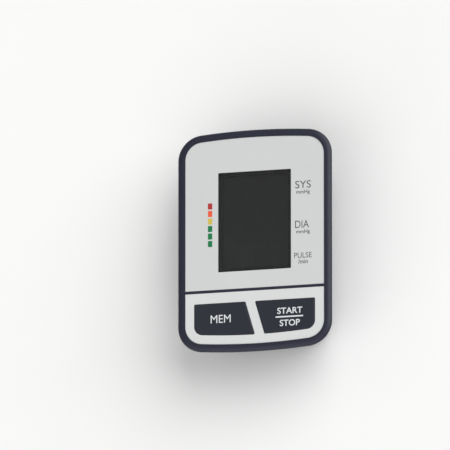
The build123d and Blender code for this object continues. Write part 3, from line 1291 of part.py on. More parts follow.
PARTS = {
    "upper_shell": make_upper_shell,
    "lower_shell": make_lower_shell,
    "display_panel": make_display_panel,
    "button_panel": make_button_panel,
    "display_window": make_display_window,
    "mem_key": lambda: make_key(-1),
    "start_stop_key": lambda: make_key(1),
    "mem_key_dome": lambda: make_key_dome(-1),
    "start_stop_key_dome": lambda: make_key_dome(1),
    "mem_contact_pill": lambda: make_contact_pill(-1),
    "start_stop_contact_pill": lambda: make_contact_pill(1),
    "lcd_gasket": make_lcd_gasket,
    "lcd_glass": make_lcd_glass,
    "lcd_holder": make_lcd_holder,
    "zebra_connectors": make_zebra_connectors,
    "main_pcb": make_main_pcb,
    "pcb_screws": make_pcb_screws,
    "housing_screws": make_housing_screws,
    "rubber_feet": make_rubber_feet,
    "battery_cover": make_battery_cover,
    "aa_cells": make_aa_cells,
    "battery_terminals": make_battery_terminals,
    "battery_links": make_battery_links,
    "battery_springs": make_battery_springs,
    "pump_motor": make_pump_motor,
    "pump_motor_cap": make_pump_motor_cap,
    "pump_shaft": make_pump_shaft,
    "pump_crank": make_pump_crank,
    "pump_wobble_disc": make_pump_wobble_disc,
    "pump_crankcase": make_pump_crankcase,
    "pump_diaphragm": make_pump_diaphragm,
    "pump_valve_body": make_pump_valve_body,
    "pump_cover": make_pump_cover,
    "pump_mount_rings": make_pump_mount_rings,
    "pump_top_pad": make_pump_top_pad,
    "air_socket": make_air_socket,
    "air_manifold": make_air_manifold,
    "socket_tube": make_socket_tube,
    "pump_tube": make_pump_tube,
    "sensor_tube": make_sensor_tube,
    "valve_tube": make_valve_tube,
    "bleed_valve": make_bleed_valve,
    "valve_frame": make_valve_frame,
    "valve_coil": make_valve_coil,
    "valve_plunger": make_valve_plunger,
    "valve_tip": make_valve_tip,
    "valve_spring": make_valve_spring,
    "valve_nozzle": make_valve_nozzle,
    "dc_socket": make_dc_socket,
    "dc_pin": make_dc_pin,
    "controller_chip": lambda: chip(0, CHIP_ROW_Y, CHIP_SIZE, CHIP_SIZE, CHIP_HEIGHT),
    "memory_chip": lambda: chip(MEMORY_X, CHIP_ROW_Y, MEMORY_SIZE, MEMORY_SIZE, CHIP_HEIGHT),
    "reference_crystal": lambda: chip(CRYSTAL_X, CHIP_ROW_Y, CRYSTAL_WIDTH, CRYSTAL_LENGTH, CRYSTAL_WIDTH),
    "storage_capacitor": lambda: can(CAPACITOR_X, CAPACITOR_Y, CAPACITOR_RADIUS, CAPACITOR_HEIGHT),
    "buzzer": lambda: can(BUZZER_X, BUZZER_Y, BUZZER_RADIUS, BUZZER_HEIGHT),
    "pressure_sensor": make_pressure_sensor,
    "pump_leads": make_pump_leads,
    "valve_leads": make_valve_leads,
    "socket_leads": make_socket_leads,
}


def main():
    """Writes one STEP file per piece."""
    os.makedirs("parts", exist_ok=True)
    for name, make in PARTS.items():
        export_step(make(), f"parts/{name}.step")
        print("wrote", name)


main()
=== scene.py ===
"""Looks of an upper arm blood pressure monitor that lies on its back on four rubber feet.

Metres. X to the user's right, Y towards the top of the display, Z up out of the display.
"""

import logging
import math
from dataclasses import dataclass, field
from enum import Enum

import bpy
import numpy as np
from mathutils import Matrix, Vector


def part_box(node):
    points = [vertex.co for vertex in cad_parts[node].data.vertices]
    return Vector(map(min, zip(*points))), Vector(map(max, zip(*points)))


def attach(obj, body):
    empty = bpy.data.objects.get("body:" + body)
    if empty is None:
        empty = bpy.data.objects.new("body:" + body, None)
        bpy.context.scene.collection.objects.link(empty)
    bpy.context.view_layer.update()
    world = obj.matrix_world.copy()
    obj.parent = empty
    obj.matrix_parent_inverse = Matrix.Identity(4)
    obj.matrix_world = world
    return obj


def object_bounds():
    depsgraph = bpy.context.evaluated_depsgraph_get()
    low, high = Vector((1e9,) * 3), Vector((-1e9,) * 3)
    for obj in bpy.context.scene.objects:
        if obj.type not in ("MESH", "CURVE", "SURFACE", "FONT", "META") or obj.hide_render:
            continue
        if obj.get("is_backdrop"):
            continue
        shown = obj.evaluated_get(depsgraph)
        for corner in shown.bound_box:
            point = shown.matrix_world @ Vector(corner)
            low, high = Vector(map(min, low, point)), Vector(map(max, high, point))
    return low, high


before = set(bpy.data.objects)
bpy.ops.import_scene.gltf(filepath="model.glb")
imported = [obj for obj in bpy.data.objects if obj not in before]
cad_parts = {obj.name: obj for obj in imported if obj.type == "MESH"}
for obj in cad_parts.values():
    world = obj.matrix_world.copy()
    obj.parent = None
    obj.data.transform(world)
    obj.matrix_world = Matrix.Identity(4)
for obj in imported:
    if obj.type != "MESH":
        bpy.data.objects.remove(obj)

MM = 0.001
# Thickness of printed ink.
PRINT = 0.02 * MM
# Noise seldom leaves this part of its range from 0 to 1.
NOISE_LOW = 0.3
NOISE_HIGH = 0.7
# Bands to a metre that a wave texture draws at scale 1, as rounded here.
WAVE_BANDS = 3.2
log = logging.getLogger("monitor")

Colour = tuple[float, float, float]
Stretch = tuple[float, float, float]
Place = tuple[float, float]
Stops = list[tuple[float, Colour]]
WHITE: Colour = (1.0, 1.0, 1.0)
EVEN: Stretch = (1.0, 1.0, 1.0)


def linear(red: float, green: float, blue: float) -> Colour:
    """Turns a screen colour into the linear values that shaders take.

    Args:
        red, green, blue: the screen colour, each from 0 to 255.

    Returns:
        Three linear values: v / 12.92 near black, and ((v + 0.055) / 1.055) to the power 2.4 above it.
    """
    share = np.array([red, green, blue]) / 255
    value = np.where(share <= 0.04045, share / 12.92, ((share + 0.055) / 1.055) ** 2.4)
    return tuple(float(v) for v in value)


def scaled(colour: Colour, share: float, plus: float = 0.0) -> Colour:
    """A lighter or darker version of a linear colour.

    Args:
        colour: the linear colour.
        share: what each value is multiplied by.
        plus: what is added to each value after that.

    Returns:
        The new colour, with no value above 1.
    """
    return tuple(min(1.0, value * share + plus) for value in colour)


class Body(Enum):
    """The rigid bodies that printed pieces ride on."""

    HOUSING = "housing"
    MEM_KEY = "mem_key"
    START_KEY = "start_stop_key"


class Surface:
    """One material's nodes, with short ways to place and join them."""

    def __init__(self, name: str) -> None:
        """Starts a material with a Principled shader and Object coordinates.

        Args:
            name: the material's name.
        """
        self.material = bpy.data.materials.new(name)
        self.material.use_nodes = True
        self.tree = self.material.node_tree
        self.tree.nodes.clear()
        self.shader = self.place("ShaderNodeBsdfPrincipled")
        output = self.place("ShaderNodeOutputMaterial")
        self.join(self.shader, "BSDF", output, "Surface")
        self.where = self.place("ShaderNodeTexCoord")

    def place(self, kind: str, **values: object) -> bpy.types.Node:
        """Adds a node and sets its own properties.

        Args:
            kind: the node's type.
            values: its properties by name.

        Returns:
            The node.
        """
        node = self.tree.nodes.new(kind)
        for key, value in values.items():
            setattr(node, key, value)
        return node

    def join(self, source: bpy.types.Node, out: str | int, target: bpy.types.Node, into: str | int) -> None:
        """Links one node's output to another's input.

        Args:
            source: the node that gives.
            out: the name or number of its output.
            target: the node that takes.
            into: the name or number of its input.
        """
        self.tree.links.new(source.outputs[out], target.inputs[into])

    def set(self, **values: object) -> None:
        """Sets constants on the shader's own sockets.

        Args:
            values: the constants by socket, with underscores for the spaces in its name.
        """
        for key, value in values.items():
            name = key.replace("_", " ")
            self.shader.inputs[name].default_value = (*value, 1.0) if isinstance(value, tuple) else value

    def noise(self, size: float, detail: float = 2.0, stretch: Stretch = EVEN) -> bpy.types.Node:
        """A noise pattern on Object coordinates.

        Args:
            size: how large the pattern's spots are, in metres.
            detail: how many finer layers it has.
            stretch: how much denser the pattern is along each axis.

        Returns:
            The noise node.
        """
        turn = self.place("ShaderNodeMapping")
        turn.inputs["Scale"].default_value = stretch
        self.join(self.where, "Object", turn, "Vector")
        node = self.place("ShaderNodeTexNoise")
        node.inputs["Scale"].default_value = 1 / size
        node.inputs["Detail"].default_value = detail
        self.join(turn, "Vector", node, "Vector")
        return node

    def cells(self, size: float) -> bpy.types.Node:
        """A Voronoi pattern on Object coordinates.

        Args:
            size: how large a cell is, in metres.

        Returns:
            The Voronoi node.
        """
        node = self.place("ShaderNodeTexVoronoi")
        node.inputs["Scale"].default_value = 1 / size
        self.join(self.where, "Object", node, "Vector")
        return node

    def bands(self, axis: str, pitch: float) -> bpy.types.Node:
        """A sine wave along one axis of the Object coordinates.

        Args:
            axis: X, Y or Z.
            pitch: the length of one wave, in metres.

        Returns:
            The wave node.
        """
        node = self.place("ShaderNodeTexWave", wave_type="BANDS", bands_direction=axis, wave_profile="SIN")
        node.inputs["Scale"].default_value = 1 / pitch / WAVE_BANDS
        self.join(self.where, "Object", node, "Vector")
        return node

    def split(self) -> bpy.types.Node:
        """Object coordinates as three separate values.

        Returns:
            The node, with outputs X, Y and Z.
        """
        node = self.place("ShaderNodeSeparateXYZ")
        self.join(self.where, "Object", node, "Vector")
        return node

    def ramp(self, source: bpy.types.Node, out: str | int, stops: Stops) -> bpy.types.Node:
        """A colour ramp driven by a value.

        Args:
            source: the node that gives the value.
            out: the name or number of its output.
            stops: place and linear colour of each stop.

        Returns:
            The ramp node.
        """
        node = self.place("ShaderNodeValToRGB")
        elements = node.color_ramp.elements
        while len(elements) < len(stops):
            elements.new(0.5)
        for element, (where, colour) in zip(elements, stops):
            element.position = where
            element.color = (*colour, 1.0)
        self.join(source, out, node, "Fac")
        return node

    def colour(self, source: bpy.types.Node, out: str | int, stops: Stops) -> None:
        """Colours the surface by a ramp over a value.

        Args:
            source: the node that gives the value.
            out: the name or number of its output.
            stops: place and linear colour of each stop.
        """
        self.join(self.ramp(source, out, stops), "Color", self.shader, "Base Color")

    def multiply(self, one: bpy.types.Node, other: bpy.types.Node) -> None:
        """Colours the surface by the product of two colours.

        Args:
            one, other: the ramps that give them.
        """
        node = self.place("ShaderNodeMix", data_type="RGBA", blend_type="MULTIPLY")
        node.inputs["Factor"].default_value = 1.0
        self.join(one, "Color", node, "A")
        self.join(other, "Color", node, "B")
        self.join(node, "Result", self.shader, "Base Color")

    def gloss(self, source: bpy.types.Node, roughness: float, less: float, more: float) -> None:
        """Varies the roughness by a noise.

        Args:
            source: the noise node.
            roughness: the roughness to vary.
            less, more: what it is multiplied by at the noise's low and high end.
        """
        node = self.place("ShaderNodeMapRange")
        node.inputs["From Min"].default_value = NOISE_LOW
        node.inputs["From Max"].default_value = NOISE_HIGH
        node.inputs["To Min"].default_value = roughness * less
        node.inputs["To Max"].default_value = roughness * more
        self.join(source, "Fac", node, "Value")
        self.join(node, "Result", self.shader, "Roughness")

    def relief(self, source: bpy.types.Node, out: str, depth: float) -> None:
        """Bumps the surface by a value.

        Args:
            source: the node that gives the height, from 0 to 1.
            out: the name of its output.
            depth: the height of a full step, in metres.
        """
        node = self.place("ShaderNodeBump")
        node.inputs["Distance"].default_value = depth
        node.inputs["Strength"].default_value = 1.0
        self.join(source, out, node, "Height")
        self.join(node, "Normal", self.shader, "Normal")


@dataclass(frozen=True)
class Moulded:
    """Moulded or painted plastic: spark-eroded grain, faint flow clouds and uneven gloss."""

    name: str
    colour: Colour
    roughness: float = 0.4
    grain: float = 0.35 * MM
    depth: float = 0.006 * MM
    clouds: float = 0.04
    cloud_size: float = 14 * MM
    specular: float = 0.5

    def make(self) -> bpy.types.Material:
        """Builds the material: cloud noise tints the colour, fine noise gives gloss and grain."""
        s = Surface(self.name)
        base = linear(*self.colour)
        dark = scaled(base, 1 - self.clouds)
        light = scaled(base, 1 + self.clouds)
        s.colour(s.noise(self.cloud_size, detail=3.0), "Fac", [(0.32, dark), (0.68, light)])
        s.gloss(s.noise(self.grain * 3), self.roughness, 0.92, 1.08)
        s.relief(s.noise(self.grain), "Fac", self.depth)
        s.set(Specular_IOR_Level=self.specular)
        return s.material


@dataclass(frozen=True)
class SilverPaint:
    """Pale satin paint on plastic, with fine flakes whose glints are painted into its colour."""

    name: str
    colour: Colour
    roughness: float = 0.38
    flake: float = 0.12 * MM
    painted_glint: float = 0.035
    cloud_size: float = 22 * MM
    cloud_shade: float = 0.985
    grain: float = 0.25 * MM
    depth: float = 0.004 * MM

    def make(self) -> bpy.types.Material:
        """Builds the material: each Voronoi cell is one flake, painted lighter at its middle as a painted
        glint, over soft clouds.
        """
        s = Surface(self.name)
        base = linear(*self.colour)
        bright = scaled(base, 1 + self.painted_glint)
        dim = scaled(base, 1 - self.painted_glint)
        # Painted glint: each flake's colour is lighter at its middle and darker at its rim.
        tint = s.ramp(s.cells(self.flake), "Distance", [(0.1, bright), (0.8, dim)])
        clouds = s.noise(self.cloud_size)
        stops = [(NOISE_LOW, scaled(WHITE, self.cloud_shade)), (NOISE_HIGH, WHITE)]
        s.multiply(tint, s.ramp(clouds, "Fac", stops))
        s.gloss(clouds, self.roughness, 0.95, 1.05)
        s.relief(s.noise(self.grain), "Fac", self.depth)
        s.set(Specular_IOR_Level=0.45)
        return s.material


@dataclass(frozen=True)
class Pane:
    """Clear polished acrylic."""

    name: str
    tint: Colour = (236, 240, 238)
    clean: float = 0.015
    smeared: float = 0.05
    smear: float = 9 * MM
    smear_stretch: Stretch = (1.0, 2.5, 1.0)
    refraction: float = 1.49

    def make(self) -> bpy.types.Material:
        """Builds the material: full transmission, with a trace of smear in its gloss."""
        s = Surface(self.name)
        smears = s.noise(self.smear, detail=4.0, stretch=self.smear_stretch)
        s.gloss(smears, self.clean, 1.0, self.smeared / self.clean)
        s.set(Base_Color=linear(*self.tint), Transmission_Weight=1.0, IOR=self.refraction)
        return s.material


@dataclass(frozen=True)
class DisplayGlass:
    """Switched-off liquid crystal glass: dark film with faint drive lines, and painted light that makes it
    paler towards its lower end.
    """

    name: str
    # The film's colour at its upper end, and at its lower end painted paler as painted light.
    upper: Colour
    lower: Colour
    painted_light_from_y: float = 46.0 * MM
    painted_light_to_y: float = -21.0 * MM
    line_pitch: float = 1.6 * MM
    line_shade: float = 0.94
    line_waver: float = 0.4
    roughness: float = 0.32
    grain: float = 0.15 * MM
    depth: float = 0.002 * MM

    def make(self) -> bpy.types.Material:
        """Builds the material: painted light runs along Y from the dark upper colour to the paler lower
        one, and a sine along X darkens it by a few percent.
        """
        s = Surface(self.name)
        along = s.place("ShaderNodeMapRange")
        along.inputs["From Min"].default_value = self.painted_light_from_y
        along.inputs["From Max"].default_value = self.painted_light_to_y
        s.join(s.split(), "Y", along, "Value")
        # Painted light: the film is painted paler towards its lower end.
        tint = s.ramp(along, "Result", [(0.2, linear(*self.upper)), (1.0, linear(*self.lower))])
        lines = s.bands("X", self.line_pitch)
        lines.inputs["Distortion"].default_value = self.line_waver
        s.multiply(tint, s.ramp(lines, "Fac", [(0.0, scaled(WHITE, self.line_shade)), (1.0, WHITE)]))
        s.relief(s.noise(self.grain), "Fac", self.depth)
        s.set(Roughness=self.roughness, Specular_IOR_Level=0.4)
        return s.material


@dataclass(frozen=True)
class Ink:
    """Screen-printed ink: even colour with a slightly rough, pin-holed skin."""

    name: str
    colour: Colour
    roughness: float = 0.5
    grain: float = 0.18 * MM
    depth: float = 0.002 * MM

    def make(self) -> bpy.types.Material:
        """Builds the material: fine noise thins the ink by a few percent."""
        s = Surface(self.name)
        base = linear(*self.colour)
        skin = s.noise(self.grain, detail=3.0)
        s.colour(skin, "Fac", [(0.35, base), (0.75, scaled(base, 1.06, 0.002))])
        s.relief(skin, "Fac", self.depth)
        s.set(Roughness=self.roughness, Specular_IOR_Level=0.35)
        return s.material


@dataclass(frozen=True)
class Rubber:
    """Rubber, silicone or foam: matt skin with fine pores."""

    name: str
    colour: Colour
    roughness: float = 0.75
    pore: float = 0.3 * MM
    depth: float = 0.02 * MM
    see_through: float = 0.0
    cloud_size: float = 6 * MM

    def make(self) -> bpy.types.Material:
        """Builds the material: Voronoi pores under a soft cloud tint."""
        s = Surface(self.name)
        base = linear(*self.colour)
        clouds = s.noise(self.cloud_size, detail=3.0)
        s.colour(clouds, "Fac", [(NOISE_LOW, base), (0.8, scaled(base, 1.25, 0.004))])
        s.relief(s.cells(self.pore), "Distance", self.depth)
        s.set(Roughness=self.roughness, Specular_IOR_Level=0.3, Transmission_Weight=self.see_through)
        return s.material


class Lay(Enum):
    """Which way a metal's drawing marks run: how dense they are along each axis."""

    ALONG_X = (1.0, 40.0, 40.0)
    ALONG_Z = (40.0, 40.0, 1.0)


@dataclass(frozen=True)
class Metal:
    """Drawn or plated metal with fine marks along one axis."""

    name: str
    colour: Colour
    roughness: float = 0.3
    lay: Lay = Lay.ALONG_X
    mark: float = 6 * MM
    depth: float = 0.004 * MM

    def make(self) -> bpy.types.Material:
        """Builds the material: stretched noise gives the marks in gloss and relief."""
        s = Surface(self.name)
        base = linear(*self.colour)
        marks = s.noise(self.mark, detail=3.0, stretch=self.lay.value)
        s.colour(marks, "Fac", [(NOISE_LOW, scaled(base, 0.86)), (NOISE_HIGH, base)])
        s.gloss(marks, self.roughness, 0.8, 1.25)
        s.relief(marks, "Fac", self.depth)
        s.set(Metallic=1.0)
        return s.material


@dataclass(frozen=True)
class Laminate:
    """Circuit board: solder mask over copper tracks that run along X and Y, in courses of one pitch."""

    name: str
    mask: Colour = (20, 84, 46)
    track: Colour = (34, 112, 62)
    pitch: float = 2.4 * MM
    track_share: float = 0.06
    depth: float = 0.03 * MM

    def make(self) -> bpy.types.Material:
        """Builds the material: brick joints stand for tracks, and the same pattern lifts them."""
        s = Surface(self.name)
        bricks = s.place("ShaderNodeTexBrick", offset=0.37, squash=1.7, squash_frequency=3)
        bricks.inputs["Scale"].default_value = 1 / self.pitch
        bricks.inputs["Mortar Size"].default_value = self.track_share
        bricks.inputs["Color1"].default_value = (*linear(*self.mask), 1.0)
        bricks.inputs["Color2"].default_value = (*linear(*(v * 0.92 for v in self.mask)), 1.0)
        bricks.inputs["Mortar"].default_value = (*linear(*self.track), 1.0)
        s.join(s.where, "Object", bricks, "Vector")
        s.join(bricks, "Color", s.shader, "Base Color")
        s.relief(bricks, "Fac", self.depth)
        s.set(Roughness=0.34, Specular_IOR_Level=0.5)
        return s.material


@dataclass(frozen=True)
class CellWrap:
    """Shrink film round the cells, with a bare metal rim at both ends."""

    name: str
    middle: float
    half_length: float
    film: Colour = (38, 41, 48)
    rim: Colour = (176, 176, 172)
    wrinkle: float = 2 * MM
    depth: float = 0.01 * MM

    def make(self) -> bpy.types.Material:
        """Builds the material: the distance from the cells' middle along Y picks film or metal."""
        s = Surface(self.name)
        offset = s.place("ShaderNodeMath", operation="SUBTRACT")
        offset.inputs[1].default_value = self.middle
        s.join(s.split(), "Y", offset, 0)
        away = s.place("ShaderNodeMath", operation="ABSOLUTE")
        s.join(offset, 0, away, 0)
        bare = s.place("ShaderNodeMath", operation="GREATER_THAN")
        bare.inputs[1].default_value = self.half_length
        s.join(away, 0, bare, 0)
        s.colour(bare, 0, [(0.0, linear(*self.film)), (1.0, linear(*self.rim))])
        s.join(bare, 0, s.shader, "Metallic")
        s.relief(s.noise(self.wrinkle, detail=3.0), "Fac", self.depth)
        s.set(Roughness=0.28)
        return s.material


@dataclass(frozen=True)
class Winding:
    """Enamelled wire wound in layers round an upright axis."""

    name: str
    colour: Colour = (150, 78, 40)
    wire: float = 0.25 * MM
    depth: float = 0.08 * MM

    def make(self) -> bpy.types.Material:
        """Builds the material: a sine band along Z, one wire to a period, gives relief, and a painted shade
        that darkens the colour in the grooves between turns.
        """
        s = Surface(self.name)
        base = linear(*self.colour)
        turns_and_groove_shade = s.bands("Z", self.wire)
        # Painted shade: the colour drops to under half in the grooves between turns.
        s.colour(turns_and_groove_shade, "Fac", [(0.1, scaled(base, 0.45)), (0.7, base)])
        s.relief(turns_and_groove_shade, "Fac", self.depth)
        s.set(Metallic=0.7, Roughness=0.3, Coat_Weight=0.6)
        return s.material


Finish = Moulded | SilverPaint | Pane | DisplayGlass | Ink | Rubber | Metal | Laminate | CellWrap | Winding


def dress(node: str, finish: Finish) -> None:
    """Gives a construction node its finish.

    Args:
        node: the node's name.
        finish: what it is made of.
    """
    made = bpy.data.materials.get(finish.name) or finish.make()
    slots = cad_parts[node].data.materials
    slots.clear()
    slots.append(made)
    log.info("dressed %s in %s", node, finish.name)


def add_piece(name: str, mesh: bpy.types.Mesh, finish: Finish, body: Body) -> bpy.types.Object:
    """Adds a finished mesh as a piece that rides on a body.

    Args:
        name: the piece's name.
        mesh: its mesh, in place.
        finish: what it is made of.
        body: what it moves with.

    Returns:
        The new object.
    """
    piece = bpy.data.objects.new(name, mesh)
    bpy.context.scene.collection.objects.link(piece)
    mesh.materials.clear()
    mesh.materials.append(bpy.data.materials.get(finish.name) or finish.make())
    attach(piece, body.value)
    log.info("added %s on %s, %d faces", name, body.value, len(mesh.polygons))
    return piece


def mesh_of(name: str, points: np.ndarray, faces: list[list[int]]) -> bpy.types.Mesh:
    """Makes a flat-shaded mesh.

    Args:
        name: the mesh's name.
        points: one row of three coordinates for each vertex.
        faces: the vertex numbers of each face.

    Returns:
        The mesh.
    """
    mesh = bpy.data.meshes.new(name)
    mesh.from_pydata(points.reshape(-1, 3).tolist(), [], faces)
    mesh.validate()
    mesh.update()
    return mesh


def ring_faces(rings: int, around: int) -> list[list[int]]:
    """Quads between rings of points, where the last ring joins the first.

    Args:
        rings: how many rings there are.
        around: how many points a ring has.

    Returns:
        Four vertex numbers for each quad.
    """
    ring, point = np.meshgrid(np.arange(rings) * around, np.arange(around), indexing="ij")
    next_ring = (ring + around) % (rings * around)
    next_point = (point + 1) % around
    quads = np.stack([ring + point, ring + next_point, next_ring + next_point, next_ring + point], axis=-1)
    return quads.reshape(-1, 4).tolist()


def squircle(half_x: float, half_y: float, power: float, count: int) -> np.ndarray:
    """Points of a rounded rectangle.

    Each coordinate is the half size times |c| to the power 2 / power, with the sign of c, where c is the
    cosine of the turn for x and its sine for y.

    Args:
        half_x, half_y: half its width and half its length.
        power: how square it is; 2 is an ellipse.
        count: how many points it has.

    Returns:
        Count rows of x and y.
    """
    turn = (np.arange(count) + 0.5) / count * 2 * np.pi
    cosine, sine = np.cos(turn), np.sin(turn)
    x = half_x * np.sign(cosine) * np.abs(cosine) ** (2 / power)
    y = half_y * np.sign(sine) * np.abs(sine) ** (2 / power)
    return np.stack([x, y], axis=-1)


@dataclass
class Tile:
    """A printed patch: a rounded rectangle with a slightly crowned top."""

    half_x: float
    half_y: float
    height: float = PRINT
    power: float = 14.0
    around: int = 48
    pinhole: float = 0.02

    def mesh(self, name: str, centre: Place, base: float) -> bpy.types.Mesh:
        """Builds the patch.

        Each ring of points is the outline times its share, at base plus its lift. The rings run from a
        pinhole in the top's middle to the rim, down it, and back to the pinhole below.

        Args:
            name: the mesh's name.
            centre: the patch's middle.
            base: the height that it lies on.

        Returns:
            The mesh.
        """
        share = np.array([self.pinhole, 0.6, 0.94, 1.0, 1.0, self.pinhole])
        lift = np.array([1.0, 1.0, 0.9, 0.6, 0.0, 0.0]) * self.height
        outline = squircle(self.half_x, self.half_y, self.power, self.around)
        flat = share[:, None, None] * outline[None] + np.array(centre)
        high = np.broadcast_to((base + lift)[:, None, None], (len(share), self.around, 1))
        points = np.concatenate([flat, high], axis=-1)
        outward = [face[::-1] for face in ring_faces(len(share), self.around)]
        return mesh_of(name, points, outward)


@dataclass
class Border:
    """A printed frame: a flat band between two rounded rectangles."""

    half_x: float
    half_y: float
    band: float
    height: float = PRINT
    power: float = 60.0
    around: int = 240

    def mesh(self, name: str, centre: Place, base: float) -> bpy.types.Mesh:
        """Builds the frame by carrying its section's four corners round the outline.

        Args:
            name: the mesh's name.
            centre: the frame's middle.
            base: the height that it lies on.

        Returns:
            The mesh.
        """
        outer = squircle(self.half_x, self.half_y, self.power, self.around)
        inner = squircle(self.half_x - self.band, self.half_y - self.band, self.power, self.around)
        section = [inner, outer, outer, inner]
        flat = np.stack(section) + np.array(centre)
        rise = base + np.array([0.0, 0.0, self.height, self.height])
        high = np.broadcast_to(rise[:, None, None], (len(section), self.around, 1))
        return mesh_of(name, np.concatenate([flat, high], axis=-1), ring_faces(len(section), self.around))


@dataclass(frozen=True)
class Word:
    """A printed word, cut from plain letters and fitted to a width and a letter height."""

    text: str
    centre: Place
    width: float
    tall: float
    weight: float = 0.0
    raw_depth: float = 0.5
    curve_steps: int = 6

    def mesh(self, name: str, base: float) -> bpy.types.Mesh:
        """Builds the word as a thin closed solid.

        Each coordinate is mapped from the letters' own box to the wanted one, so their raw size is free.

        Args:
            name: the mesh's name.
            base: the height that it lies on.

        Returns:
            The mesh.
        """
        curve = bpy.data.curves.new(name, "FONT")
        curve.body = self.text
        curve.extrude = self.raw_depth
        curve.offset = self.weight
        curve.resolution_u = self.curve_steps
        letters = bpy.data.objects.new(name, curve)
        bpy.context.scene.collection.objects.link(letters)
        shape = letters.evaluated_get(bpy.context.evaluated_depsgraph_get())
        mesh = bpy.data.meshes.new_from_object(shape)
        bpy.data.objects.remove(letters)
        bpy.data.curves.remove(curve)
        points = np.zeros(len(mesh.vertices) * 3)
        mesh.vertices.foreach_get("co", points)
        points = points.reshape(-1, 3)
        low, high = points.min(0), points.max(0)
        size = np.array([self.width, self.tall, PRINT])
        start = np.array([self.centre[0] - self.width / 2, self.centre[1] - self.tall / 2, base])
        placed = (points - low) / (high - low) * size + start
        mesh.vertices.foreach_set("co", placed.ravel())
        mesh.update()
        return mesh


NAVY = Moulded("navy_moulding", (35, 37, 54), grain=0.5 * MM, depth=0.004 * MM, specular=0.42)
NAVY_LOWER = Moulded("navy_tray", (36, 38, 54), roughness=0.52, grain=0.45 * MM, depth=0.012 * MM)
NAVY_KEY = Moulded("navy_key", (30, 34, 46), roughness=0.42, grain=0.4 * MM, depth=0.004 * MM)
# One silver paint in two copies: the key panel's paler copy is painted light, as that end of the face is
# more lit.
SILVER = SilverPaint("silver_panel", (213, 215, 214))
SILVER_KEYS_LIT = SilverPaint("silver_key_panel_lit", (221, 223, 222))
ACRYLIC = Pane("clear_window")
# The second colour is painted light: the film's lower end is painted paler.
POLARISER = DisplayGlass("display_film", (15, 18, 15), (31, 38, 32))
# Black of the window's border: a printed mask that also paints the shade at the window's edge.
MASK_AND_SHADE_INK = Ink("window_mask_and_shade_ink", (6, 6, 6))
LEDGE_INK = Ink("window_ledge_ink", (25, 27, 25))
SEGMENT_INK = Ink("segment_film", (19, 21, 19), roughness=0.3)
GREY_INK = Ink("grey_print", (80, 82, 87))
WHITE_INK = Ink("white_print", (226, 228, 230))
WHITE_NYLON = Moulded("white_nylon", (212, 211, 204), roughness=0.5)
BLACK_PLASTIC = Moulded("black_plastic", (30, 30, 32), roughness=0.42)
BLACK_RUBBER = Rubber("black_rubber", (38, 38, 40))
CARBON = Rubber("carbon_rubber", (26, 26, 26), pore=0.15 * MM)
FOAM = Rubber("black_foam", (34, 34, 34), pore=0.5 * MM, depth=0.12 * MM, roughness=0.95)
SILICONE = Rubber("silicone", (206, 208, 206), roughness=0.45, depth=0.004 * MM, see_through=0.25)
STEEL = Metal("plated_steel", (186, 186, 184), roughness=0.32)
SPRING_METAL = Metal("spring_metal", (206, 196, 164), roughness=0.28, lay=Lay.ALONG_Z)
BOARD = Laminate("circuit_board")
EPOXY = Moulded("chip_epoxy", (28, 28, 29), roughness=0.55, grain=0.2 * MM)
COIL_WIRE = Winding("coil_winding")
RED_WIRE = Moulded("lead_insulation", (150, 26, 24))


@dataclass
class Housing:
    """Frame, tray, battery cover, feet and screws."""

    upper: Moulded = NAVY
    lower: Moulded = NAVY_LOWER
    foot: Rubber = BLACK_RUBBER
    screw: Metal = STEEL

    def build(self) -> None:
        """Dresses the housing's nodes."""
        dress("upper_shell", self.upper)
        dress("lower_shell", self.lower)
        dress("battery_cover", self.lower)
        dress("rubber_feet", self.foot)
        dress("housing_screws", self.screw)
        dress("pcb_screws", self.screw)


@dataclass
class FrontPanels:
    """Two pale panels, with the colour scale and the names and units of the readings on the upper one."""

    bar_x: float = -28.2 * MM
    bar_width: float = 2.75 * MM
    bar_length: float = 3.85 * MM
    bar_top: float = 22.9 * MM
    bar_pitch: float = 4.75 * MM
    bar_colours: tuple[Colour, ...] = (
        (178, 46, 48),
        (236, 94, 64),
        (210, 188, 84),
        (16, 122, 70),
        (16, 122, 70),
        (16, 122, 70),
    )
    words: dict[str, Word] = field(default_factory=lambda: {
        "sys_word": Word("SYS", (30.8 * MM, 33.3 * MM), 9.9 * MM, 4.7 * MM),
        "sys_unit": Word("mmHg", (30.8 * MM, 28.3 * MM), 8.6 * MM, 3.0 * MM, 0.012),
        "dia_word": Word("DIA", (30.1 * MM, 8.2 * MM), 8.8 * MM, 4.7 * MM),
        "dia_unit": Word("mmHg", (30.8 * MM, 3.2 * MM), 8.6 * MM, 3.0 * MM, 0.012),
        "pulse_word": Word("PULSE", (30.7 * MM, -11.4 * MM), 11.1 * MM, 3.4 * MM),
        "pulse_unit": Word("/min", (30.7 * MM, -15.3 * MM), 6.1 * MM, 2.8 * MM, 0.012),
    })

    def bar_heights(self) -> list[float]:
        """Where the scale's bars lie.

        Returns:
            The Y place of each bar's middle, from the top down.
        """
        return [self.bar_top - i * self.bar_pitch for i in range(len(self.bar_colours))]

    def build(self) -> None:
        """Dresses both panels and prints the scale and the words."""
        dress("display_panel", SILVER)
        # The key panel gets the paler copy of the paint, which is painted light.
        dress("button_panel", SILVER_KEYS_LIT)
        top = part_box("display_panel")[1].z
        tile = Tile(self.bar_width / 2, self.bar_length / 2)
        for i, (colour, y) in enumerate(zip(self.bar_colours, self.bar_heights()), start=1):
            mesh = tile.mesh(f"scale_bar_{i}", (self.bar_x, y), top)
            ink = Ink(f"scale_ink_{i}", colour)
            add_piece(f"scale_bar_{i}", mesh, ink, Body.HOUSING)
        for name, word in self.words.items():
            add_piece(name, word.mesh(name, top), GREY_INK, Body.HOUSING)


@dataclass(frozen=True)
class DigitRow:
    """One row of the display's digits: its middle's Y place, and a digit's width and height."""

    y: float
    wide: float
    tall: float


